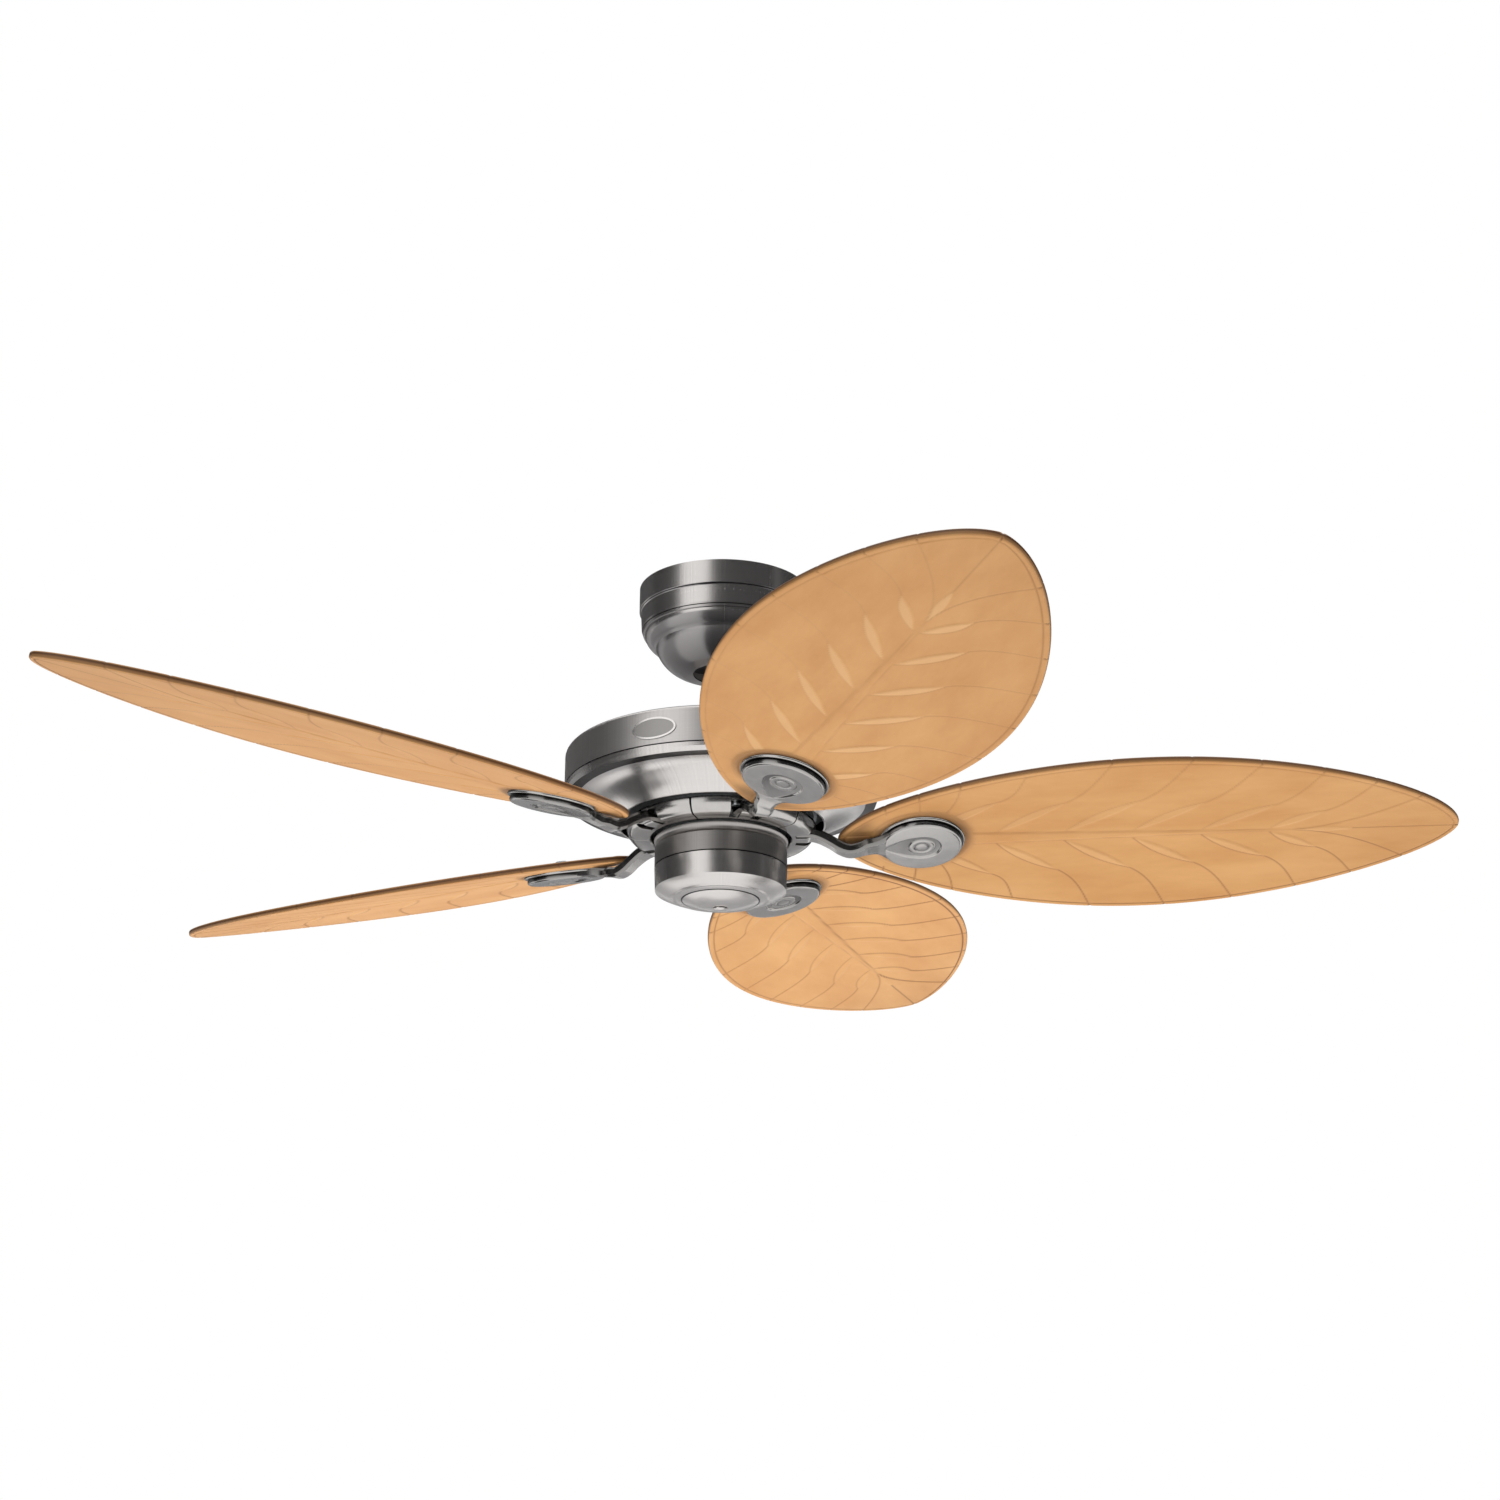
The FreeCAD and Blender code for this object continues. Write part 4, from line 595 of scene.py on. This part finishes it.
def curve_through(points, count=70):
    """Points of a smooth curve through a few given ones."""
    points = np.array(points, float)
    knots = np.concatenate([[0], np.cumsum(np.linalg.norm(np.diff(points, axis=0), axis=1))])
    ask = np.linspace(0, knots[-1], count)
    found = np.zeros((count, 2))
    for place in range(len(points)):
        weight = np.ones(count)
        for other in range(len(points)):
            if other != place:
                weight *= (ask - knots[other]) / (knots[place] - knots[other])
        found += weight[:, None] * points[place]
    return found


def distance_to(curve, along, across, reach):
    """Distance of points from a curve, and on which side, for those within reach of its box."""
    apart = np.full(along.shape, 1e3)
    side = np.ones(along.shape)
    near = ((along > curve[:, 0].min() - reach) & (along < curve[:, 0].max() + reach)
            & (across > curve[:, 1].min() - reach) & (across < curve[:, 1].max() + reach))
    if not near.any():
        return apart, side
    points = np.stack([along[near], across[near]], 1)
    best = np.full(len(points), 1e3)
    turn = np.ones(len(points))
    for a, b in zip(curve[:-1], curve[1:]):
        step = b - a
        away = points - a
        share = np.clip(away @ step / (step @ step), 0, 1)
        gap = np.linalg.norm(away - share[:, None] * step, axis=1)
        closer = gap < best
        best[closer] = gap[closer]
        turn[closer] = np.sign(step[0] * away[closer, 1] - step[1] * away[closer, 0])
    apart[near] = best
    side[near] = turn
    return apart, side


def vein(run, along, out, edge):
    """How far a vein lifts the leaf on one side of its run, and how deep its line is scored."""
    gap, side = distance_to(run, along, out, vein_reach)
    step = np.where(side < 0, np.exp(-gap / vein_fade), 0)
    lift = vein_step * step * smooth_step(0, vein_rise, gap) * (edge > rim_line_inset)
    return lift, np.exp(-(gap / vein_width) ** 2)


def leaf_relief(along, across, edge):
    """Height of the leaf's relief, how deep the scored lines are, and where the leaflets lie."""
    high = np.zeros(along.shape)
    scored = np.zeros(along.shape)
    leaflets = np.zeros(along.shape)
    out = np.abs(across)
    for base, point, end in leaflet_veins:
        base, point, end = np.array(base, float), np.array(point, float), np.array(end, float)
        chord = point - base
        length = np.linalg.norm(chord)
        forward = chord / length
        rootward = np.array([-forward[1], forward[0]])
        a = (along - base[0]) * forward[0] + (out - base[1]) * forward[1]
        b = (along - base[0]) * rootward[0] + (out - base[1]) * rootward[1]
        bulge = np.clip(4 * a * (length - a) / length ** 2, 0, 1)
        width = np.maximum(leaflet_width * bulge, 0.01)
        q = (b + leaflet_shift * bulge) / width
        inside = (a > 0) & (a < length) & (q > 0) & (q < 1)
        ends = np.minimum(1, width / 5)
        facet = (0.9 - 0.75 * q) * smooth_step(0, 0.8, (1 - q) * width) * smooth_step(0, 1.3, q * width)
        high = np.where(inside, np.maximum(high, facet * ends), high)
        body = smooth_step(0, 1.2, (1 - q) * width) * smooth_step(0, 1.2, q * width)
        leaflets = np.where(inside, body, leaflets)
        rim = curve_through([base, (base + point) / 2 + rootward * leaflet_arch, point], 40)
        gap, _ = distance_to(rim, along, out, 5)
        scored = np.maximum(scored, 0.75 * np.exp(-(gap / 0.8) ** 2))
        bend = (point + end) / 2 + np.array([4.5, -1.0])
        run = curve_through([point, bend, end, end + (end - bend) * 0.28])
        lift, line = vein(run, along, out, edge)
        high += lift
        scored = np.maximum(scored, line)
    for points in plain_veins:
        lift, line = vein(curve_through(points), along, out, edge)
        high += lift
        scored = np.maximum(scored, line)
    half = np.maximum(midrib_half_width * (midrib_end - np.maximum(along, midrib_root))
                      / (midrib_end - midrib_root), 0.01)
    on_rib = smooth_step(-0.2, 1.5, half - out) * (along < midrib_end)
    high = high * (1 - on_rib) + midrib_height * on_rib
    rib_line = 0.55 * np.exp(-((out - half - 0.3) / 0.8) ** 2)
    scored = np.where(along < midrib_end, np.maximum(scored * (1 - on_rib), rib_line), scored)
    tail = (along > midrib_end) & (along < midrib_end + tip_leaflet_length)
    swell = np.clip(np.sin(math.pi * (along - midrib_end) / tip_leaflet_length), 0, 1)
    on_tail = smooth_step(-0.2, 1.2, tip_leaflet_half * swell - out) * tail
    high = np.maximum(high, tip_leaflet_height * on_tail)
    leaflets = np.maximum(leaflets, on_tail)
    line = (along > tip_line_start) * np.exp(-(across / vein_width) ** 2)
    scored = np.maximum(scored, line)
    border = np.exp(-((edge - rim_line_inset) / 0.8) ** 2)
    groove = np.maximum(scored, 2.2 * border)
    high = high * smooth_step(rim_line_inset, rim_line_inset + 2, edge) - 0.12 * groove
    high -= 0.5 * groove * (edge < rim_line_inset - 1)
    return high, np.maximum(scored, 1.2 * border), leaflets


rows, columns = ((441, 191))
u = np.linspace(0, 1, rows)
share = 0.6 * u + 0.4 * (1 - np.cos(np.pi * u)) / 2
v = np.linspace(-1, 1, columns)
fraction = 0.35 * v + 0.65 * np.sin(np.pi * v / 2)
share_grid, fraction_grid = np.meshgrid(share, fraction, indexing="ij")
along = leaf_start + leaf_length * share_grid
half = leaf_half(share_grid)
across = half * fraction_grid
slope = np.gradient(leaf_half(share), leaf_length * share)[:, None]
lean = 1 / np.sqrt(1 + np.minimum(slope ** 2, 60))
edge = (half - np.abs(across)) * lean
edge = np.minimum(edge, np.minimum(along - leaf_start, leaf_start + leaf_length - along))
inset = np.clip(rim_round - edge, 0, rim_round)
rounding = rim_round - np.sqrt(np.maximum(rim_round ** 2 - inset ** 2, 0))
high, scored, leaflets = leaf_relief(along, across, edge)
from_disc = np.hypot(along, across)
clear = smooth_step(*relief_below, from_disc)
pad = pad_height * smooth_step(*pad_rise, from_disc) * (1 - smooth_step(*pad_fall, from_disc))
sag = -across ** 2 / (2 * camber_radius)
under = sag + rounding - (high * clear + pad * (edge > 3))
over = sag + leaf_thickness - rounding + high * smooth_step(*relief_above, from_disc)
count = rows * columns
points = np.concatenate([
    np.stack([along, across, under], -1).reshape(-1, 3),
    np.stack([along, across, over], -1).reshape(-1, 3),
]) * MM
index = np.arange(count).reshape(rows, columns)
quads = np.stack([index[:-1, :-1], index[:-1, 1:], index[1:, 1:], index[1:, :-1]], -1).reshape(-1, 4)
faces = [quads, (quads + count)[:, ::-1]]
for rim in (index[:, 0], index[:, -1][::-1]):
    faces.append(np.stack([rim[:-1], rim[1:], rim[1:] + count, rim[:-1] + count], -1))
faces = np.concatenate(faces)
leaf = bpy.data.meshes.new("leaf_blade")
leaf.vertices.add(len(points))
leaf.vertices.foreach_set("co", points.astype(np.float32).ravel())
leaf.loops.add(faces.size)
leaf.loops.foreach_set("vertex_index", faces.astype(np.int32).ravel())
leaf.polygons.add(len(faces))
leaf.polygons.foreach_set("loop_start", np.arange(0, faces.size, 4, dtype=np.int32))
leaf.polygons.foreach_set("use_smooth", np.ones(len(faces), bool))
leaf.update(calc_edges=True)
leaf.validate()
# Painted shadow of the disc gathers around it, heavier towards the tip, and painted shade lies in the trough
# behind it, on the underside only; the brown glaze lies on the rim.
disc_shadow = np.exp(-((from_disc - 42.5) / 5.5) ** 2) * (0.7 + 0.3 * along / np.maximum(from_disc, 1))
trough_shade = np.exp(-((along + 58.0) / 11.0) ** 2) * smooth_step(2, 10, edge)
rim_stain = np.maximum(1 - smooth_step(0.0, 0.9, edge), 0.9 * scored * (1 - smooth_step(2.5, 4.0, edge)))
shadow_near_disc = np.maximum(0.6 * disc_shadow, 0.45 * trough_shade)
left_half = smooth_step(-4, 4, across)
shades = {"scored": (scored * clear, scored * clear),
          "leaflet": (leaflets * clear, leaflets * clear),
          "left_half": (left_half, left_half),
          "rim": (np.maximum(0.6 * rim_stain, shadow_near_disc), rim_stain)}
for name, (lower, upper) in shades.items():
    layer = leaf.attributes.new(name, "FLOAT", "POINT")
    layer.data.foreach_set("value", np.concatenate([lower.ravel(), upper.ravel()]).astype(np.float32))
flat_map = leaf.uv_layers.new(name="leaf_face")
flat_map.data.foreach_set("uv", points[faces.ravel(), :2].astype(np.float32).ravel())

# Moulded resin, stained tan: matte with a low sheen, clouded along the leaf every 45 mm or so.
# A brown glaze stays in the scored lines and on the edge, and a leathery grain of 1.5 mm covers the face.
# The scored lines are darkened partly by that glaze and partly as painted shade of the vein steps, with a
# share of its own on each half of a blade.
# The shares are those of the right half and of the left half, for each blade.
vein_shade_shares = {1: (0.24, 0.66), 2: (0.90, 0.50), 3: (0.90, 0.50), 4: (1.00, 0.50), 5: (0.12, 0.34)}
# How far the leaflets of each blade are lightened, as a painted highlight.
leaflet_highlight = {1: 0.18, 2: 0.08, 3: 0.15, 4: 0.08, 5: 0.42}
leaf_resin, tree, shader = new_material("moulded_leaf_resin", IOR=1.48)
place = node(tree, "ShaderNodeTexCoord").outputs["UV"]
offset = node(tree, "ShaderNodeObjectInfo").outputs["Object Index"]
stretch = node(tree, "ShaderNodeMapping", inputs={"Vector": place, "Scale": (0.35, 1.0, 1.0)})
cloud = node(tree, "ShaderNodeTexNoise", {"noise_dimensions": "4D"},
             {"Vector": stretch.outputs[0], "W": offset, "Scale": 1 / (45 * MM),
              "Detail": 5.0, "Roughness": 0.62})
spread = node(tree, "ShaderNodeMapRange", inputs={0: cloud.outputs["Fac"], 1: 0.32, 2: 0.68})
grain = node(tree, "ShaderNodeTexNoise", inputs={"Vector": place, "Scale": 1 / (1.5 * MM), "Detail": 3.0})
tone = node(tree, "ShaderNodeMix", {"data_type": "RGBA"},
            {0: spread.outputs[0], 6: linear("#ca9055"), 7: linear("#daa469")})
blade_paint_shares = node(tree, "ShaderNodeSeparateColor",
             inputs={0: node(tree, "ShaderNodeObjectInfo").outputs["Color"]})
# Painted highlight: the leaflets are lightened towards pale tan by the blade's share.
lit = node(tree, "ShaderNodeAttribute", {"attribute_name": "leaflet"}).outputs["Fac"]
leaflet_lightening = node(tree, "ShaderNodeMath", {"operation": "MULTIPLY"}, {0: lit, 1: blade_paint_shares.outputs["Green"]})
pale = node(tree, "ShaderNodeMix", {"data_type": "RGBA"},
            {0: leaflet_lightening.outputs[0], 6: tone.outputs[2], 7: linear("#eec18a")})
# The scored lines darken towards brown by the share of each half, as glaze and as painted shade of the vein
# steps.
glaze_and_shade = node(tree, "ShaderNodeAttribute", {"attribute_name": "scored"}).outputs["Fac"]
half = node(tree, "ShaderNodeAttribute", {"attribute_name": "left_half"}).outputs["Fac"]
vein_share = node(tree, "ShaderNodeMix", {"data_type": "FLOAT"},
            {0: half, 2: blade_paint_shares.outputs["Red"], 3: blade_paint_shares.outputs["Blue"]})
vein_darkening = node(tree, "ShaderNodeMath", {"operation": "MULTIPLY"}, {0: glaze_and_shade, 1: vein_share.outputs[0]})
veined = node(tree, "ShaderNodeMix", {"data_type": "RGBA"},
              {0: vein_darkening.outputs[0], 6: pale.outputs[2], 7: linear("#7a4a1c")})
# The rim layer holds the brown glaze on the edge and, on the underside, the painted shadow and shade near
# the disc.
rim = node(tree, "ShaderNodeAttribute", {"attribute_name": "rim"}).outputs["Fac"]
brown = node(tree, "ShaderNodeMix", {"data_type": "RGBA"},
             {0: rim, 6: veined.outputs[2], 7: linear("#5e3a1a")})
shine = node(tree, "ShaderNodeMapRange", inputs={0: grain.outputs["Fac"], 3: 0.36, 4: 0.50})
relief = node(tree, "ShaderNodeBump",
              inputs={"Strength": 0.06, "Distance": 0.2 * MM, "Height": grain.outputs["Fac"]})
feed(shader, Base_Color=brown.outputs[2], Roughness=shine.outputs[0], Normal=relief.outputs[0])
leaf.materials.append(leaf_resin)

seat = blade_seat.copy()
seat.translation *= MM
for number, spin in spins.items():
    mesh = leaf.copy()
    mesh.transform(spin @ seat)
    blade = bpy.data.objects.new(f"leaf_blade_{number}", mesh)
    blade.pass_index = number
    right_share, left_share = vein_shade_shares[number]
    blade.color = (right_share, leaflet_highlight[number], left_share, 1)
    blade.visible_glossy = False
    bpy.context.scene.collection.objects.link(blade)
    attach(blade, "rotor")
    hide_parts(f"blade_{number}")

# Grommet rubber: near black and dull, with a bloom that lightens it in patches.
grommet_rubber, tree, shader = new_material("grommet_rubber")
place = node(tree, "ShaderNodeTexCoord").outputs["Object"]
bloom = node(tree, "ShaderNodeTexNoise", inputs={"Vector": place, "Scale": 1 / (3 * MM), "Detail": 3.0})
coat(shader, (bloom.outputs["Fac"], "#101010", "#242322"), (bloom.outputs["Fac"], 0.62, 0.82))

dress(grommet_rubber, "blade_grommets")
dress(zinc, "blade_screws")

# Switch housing
# A spun cup in two halves under the motor, with a flared lip, a chamfer and a domed cap with a plug.
# It hangs from a plate on the shaft's end and holds the capacitor and the reversing switch.

# The upper half, close under the turning irons, is brushed more coarsely, and its colour is darkened as
# painted shade from the irons and blades above it, so it only glows.
neck_nickel = refinished(band_nickel, "coarse_brushed_nickel_plate", 0.34, 0.42)
tone = neck_nickel.node_tree.nodes[turned_tone]
tone.inputs[6].default_value = linear("#a5a19e")
tone.inputs[7].default_value = linear("#b8b4b1")

dress(neck_nickel, "upper_switch_housing")
dress(turned_nickel, "lower_switch_housing", "cap_plug")

# The cap has the same plate, with a dark ring of painted shade around its edge, 1.7 mm wide, as the seam's
# shadow.
cap_edge = 36.6 * MM
cap_nickel = turned_nickel.copy()
cap_nickel.name = "turned_nickel_plate_cap"
tree = cap_nickel.node_tree
shader = tree.nodes["Principled BSDF"]
plate = shader.inputs["Base Color"].links[0].from_socket
flat = node(tree, "ShaderNodeVectorMath", {"operation": "MULTIPLY"},
            {0: node(tree, "ShaderNodeTexCoord").outputs["Object"], 1: (1, 1, 0)})
reach = node(tree, "ShaderNodeVectorMath", {"operation": "LENGTH"}, {0: flat.outputs[0]})
seam_shade = node(tree, "ShaderNodeMapRange",
               inputs={0: reach.outputs["Value"], 1: cap_edge - 1.7 * MM, 2: cap_edge - 1.2 * MM})
seam_shaded = node(tree, "ShaderNodeMix", {"data_type": "RGBA"},
               {0: seam_shade.outputs[0], 6: plate, 7: linear("#2e2c2b")})
feed(shader, Base_Color=seam_shaded.outputs[2])

dress(cap_nickel, "switch_cap")
dress(zinc, "switch_plate", "switch_plate_screws", "shaft_nut", "switch_side_screws")
dress(black_nylon, "capacitor", "reverse_switch_body", "reverse_slider")

# Studio
# A plain pale floor far below the fan, dark and pale flags that only the metal sees, lamps and the camera.
# None of it belongs to the fan.

floor_level = -4.8
floor_radius = 49.0
floor_sides = 96
floor_rim = [(floor_radius * math.cos(turn), floor_radius * math.sin(turn), floor_level)
             for turn in np.linspace(0, math.tau, floor_sides + 1)[:-1]]
floor_mesh = bpy.data.meshes.new("studio_floor")
floor_mesh.from_pydata(floor_rim, [], [tuple(range(floor_sides))])
floor = bpy.data.objects.new("studio_floor", floor_mesh)
bpy.context.scene.collection.objects.link(floor)
# White paint on the floor: dull and faintly clouded, and lifted towards white where the camera looks at it.
floor_lift = 0.42
floor_paint, tree, shader = new_material("floor_paint", Roughness=0.9, Emission_Color=(1, 1, 1, 1))
place = node(tree, "ShaderNodeTexCoord").outputs["Object"]
cloud = node(tree, "ShaderNodeTexNoise", inputs={"Vector": place, "Scale": 1 / (1667 * MM), "Detail": 2.0})
tone = node(tree, "ShaderNodeMix", {"data_type": "RGBA"},
            {0: cloud.outputs["Fac"], 6: linear("#e1e1df"), 7: linear("#e6e6e4")})
lift = node(tree, "ShaderNodeMath", {"operation": "MULTIPLY"},
            {0: node(tree, "ShaderNodeLightPath").outputs["Is Camera Ray"], 1: floor_lift})
feed(shader, Base_Color=tone.outputs[2], Emission_Strength=lift.outputs[0])
floor_mesh.materials.append(floor_paint)
floor.visible_glossy = False
floor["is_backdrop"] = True

# Flag cloth: dull, faintly clouded every 125 mm, dyed by each flag's own paleness, and clear from behind.
flag_cloth, tree, shader = new_material("flag_cloth", Roughness=0.95)
place = node(tree, "ShaderNodeTexCoord").outputs["Object"]
cloud = node(tree, "ShaderNodeTexNoise", inputs={"Vector": place, "Scale": 1 / (125 * MM)})
tone = node(tree, "ShaderNodeMix", {"data_type": "RGBA"},
            {0: cloud.outputs["Fac"], 6: linear("#3a3a3b"), 7: linear("#464647")})
dyed = node(tree, "ShaderNodeVectorMath", {"operation": "MULTIPLY"},
            {0: tone.outputs[2], 1: node(tree, "ShaderNodeObjectInfo").outputs["Color"]})
feed(shader, Base_Color=dyed.outputs[0])
one_side = node(tree, "ShaderNodeMixShader", inputs={
    0: node(tree, "ShaderNodeNewGeometry").outputs["Backfacing"],
    1: shader.outputs[0], 2: node(tree, "ShaderNodeBsdfTransparent").outputs[0]})
tree.links.new(one_side.outputs[0], tree.nodes["Material Output"].inputs["Surface"])
flag_step = 6


def flag(name, start, end, bottom, top, pale):
    """A curved cloth, seen in reflections alone, between two directions and two (distance, height) edges."""
    steps = max(2, round(abs(end - start) / flag_step))
    points, faces = [], []
    for step in range(steps + 1):
        turn = math.radians(start + (end - start) * step / steps)
        for away, height in (bottom, top):
            points.append((away * math.sin(turn), -away * math.cos(turn), height))
        if step:
            faces.append((2 * step - 2, 2 * step - 1, 2 * step + 1, 2 * step))
    mesh = bpy.data.meshes.new(name)
    mesh.from_pydata(points, [], faces)
    mesh.materials.append(flag_cloth)
    cloth = bpy.data.objects.new(name, mesh)
    cloth.color = (pale, pale, pale, 1)
    bpy.context.scene.collection.objects.link(cloth)
    cloth.visible_camera = False
    cloth.visible_diffuse = False
    cloth.visible_transmission = False
    cloth.visible_shadow = False
    cloth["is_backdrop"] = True


# Directions are in degrees from the camera's side and edges in metres. The last value is the paleness.
flag("flag_left", -112, -60, (3.4, -1.2), (3.4, 3.4), 1.2)
flag("flag_back_left", -190, -112, (3.4, 0.35), (3.4, 3.4), 2.4)
flag("flag_front", -18, 56, (3.4, -0.9), (3.4, 3.4), 1.4)
flag("flag_right", 56, 116, (3.4, -1.4), (3.4, 3.4), 1.4)
flag("flag_back_right", 116, 170, (3.4, 0.35), (3.4, 3.4), 2.2)
flag("flag_back_low", 168, 220, (3.6, -2.4), (3.6, -0.9), 12.0)
flag("flag_back_low_right", 140, 168, (3.6, -2.4), (3.6, -1.2), 12.0)
flag("flag_below_back", 156, 198, (2.05, -2.4), (3.6, -2.4), 13.0)
flag("flag_behind_left", -190, -112, (3.4, -0.55), (3.4, 0.35), 9.0)
flag("flag_behind_right", 116, 170, (3.4, -0.7), (3.4, 0.35), 5.2)
flag("flag_below_left", -148, -92, (1.25, -2.35), (4.0, -2.35), 1.8)
flag("flag_below_right", 122, 158, (1.5, -2.35), (2.4, -2.35), 3.0)
flag("flag_under_canopy_left", -180, -75, (0.03, -0.10), (0.32, -0.10), 6.0)
flag("flag_under_canopy_front", -75, -25, (0.03, -0.10), (0.32, -0.10), 14.0)
flag("flag_under_canopy_right", -25, 50, (0.03, -0.10), (0.32, -0.10), 1.6)
flag("flag_under_canopy_back", 50, 180, (0.03, -0.10), (0.32, -0.10), 6.0)

# Lamps stand around the hub. A beam is a spot lamp's width in degrees, and its edge is blended.
hub_level = -0.24
beam_blend = 0.35


def lamp(name, turn, rise, distance, width, height, watts, glossy=True, beam=None):
    """A soft lamp aimed at the hub, at a turn from the camera's side and a rise above the hub."""
    light = bpy.data.lights.new(name, "SPOT" if beam else "AREA")
    light.energy = watts
    if beam:
        light.spot_size, light.spot_blend = math.radians(beam), beam_blend
        light.shadow_soft_size = width / 2
    else:
        light.shape, light.size, light.size_y = "RECTANGLE", width, height
    made = bpy.data.objects.new(name, light)
    hub = Vector((0, 0, hub_level))
    a, e = math.radians(turn), math.radians(rise)
    away = Vector((math.sin(a) * math.cos(e), -math.cos(a) * math.cos(e), math.sin(e)))
    made.location = hub + away * distance
    made.rotation_mode = "QUATERNION"
    made.rotation_quaternion = (-away).to_track_quat("-Z", "Y")
    made.visible_camera = False
    made.visible_glossy = glossy
    bpy.context.scene.collection.objects.link(made)


lamp("key_lamp", -40, 22, 3.3, 1.5, 2.3, 7.5, glossy=False)
lamp("side_lamp", 78, 22, 3.3, 0.4, 2.0, 0.3)
lamp("low_key_lamp", 122, -46, 2.9, 0.8, 0.8, 142, glossy=False, beam=38)
lamp("low_fill_lamp", -150, -40, 3.0, 1.1, 1.1, 232, glossy=False, beam=38)

# The room lights the fan at a plain level, and is white where it is seen or mirrored.
room_light, backdrop_light = 0.66, 1.0
world = bpy.data.worlds.new("studio_white")
bpy.context.scene.world = world
world.use_nodes = True
tree = world.node_tree
sky = tree.nodes["Background"]
path = node(tree, "ShaderNodeLightPath")
seen = node(tree, "ShaderNodeMath", {"operation": "MAXIMUM"},
            {0: path.outputs["Is Camera Ray"], 1: path.outputs["Is Glossy Ray"]})
seen = node(tree, "ShaderNodeMath", {"operation": "MAXIMUM"},
            {0: seen.outputs[0], 1: path.outputs["Is Transmission Ray"]})
level = node(tree, "ShaderNodeMapRange", inputs={0: seen.outputs[0], 3: room_light, 4: backdrop_light})
sky.inputs["Color"].default_value = (1, 1, 1, 1)
tree.links.new(level.outputs[0], sky.inputs["Strength"])

# The camera stands below the blades and looks up, with a slight roll.
camera_place = (0.03693, -2.72797, -1.14158)
lens = bpy.data.cameras.new("camera")
lens.sensor_width = 36.0
lens.sensor_fit = "HORIZONTAL"
lens.lens = 74.21
lens.clip_start, lens.clip_end = 0.05, 60
camera = bpy.data.objects.new("camera", lens)
bpy.context.scene.collection.objects.link(camera)
ahead = Vector((-0.0037, 0.94093, 0.33857)).normalized()
right = Vector((0.99999, 0.00393, 0)).normalized()
above = right.cross(ahead)
roll = 0.0075
across_frame = right * math.cos(roll) + above * math.sin(roll)
up_frame = above * math.cos(roll) - right * math.sin(roll)
turned_to = Matrix((across_frame, up_frame, -ahead)).transposed().to_4x4()
camera.matrix_world = Matrix.Translation(camera_place) @ turned_to
bpy.context.scene.camera = camera
bpy.context.scene.view_settings.view_transform = "Standard"

# Bounds of what is shown, and the end of the script
low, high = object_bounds()
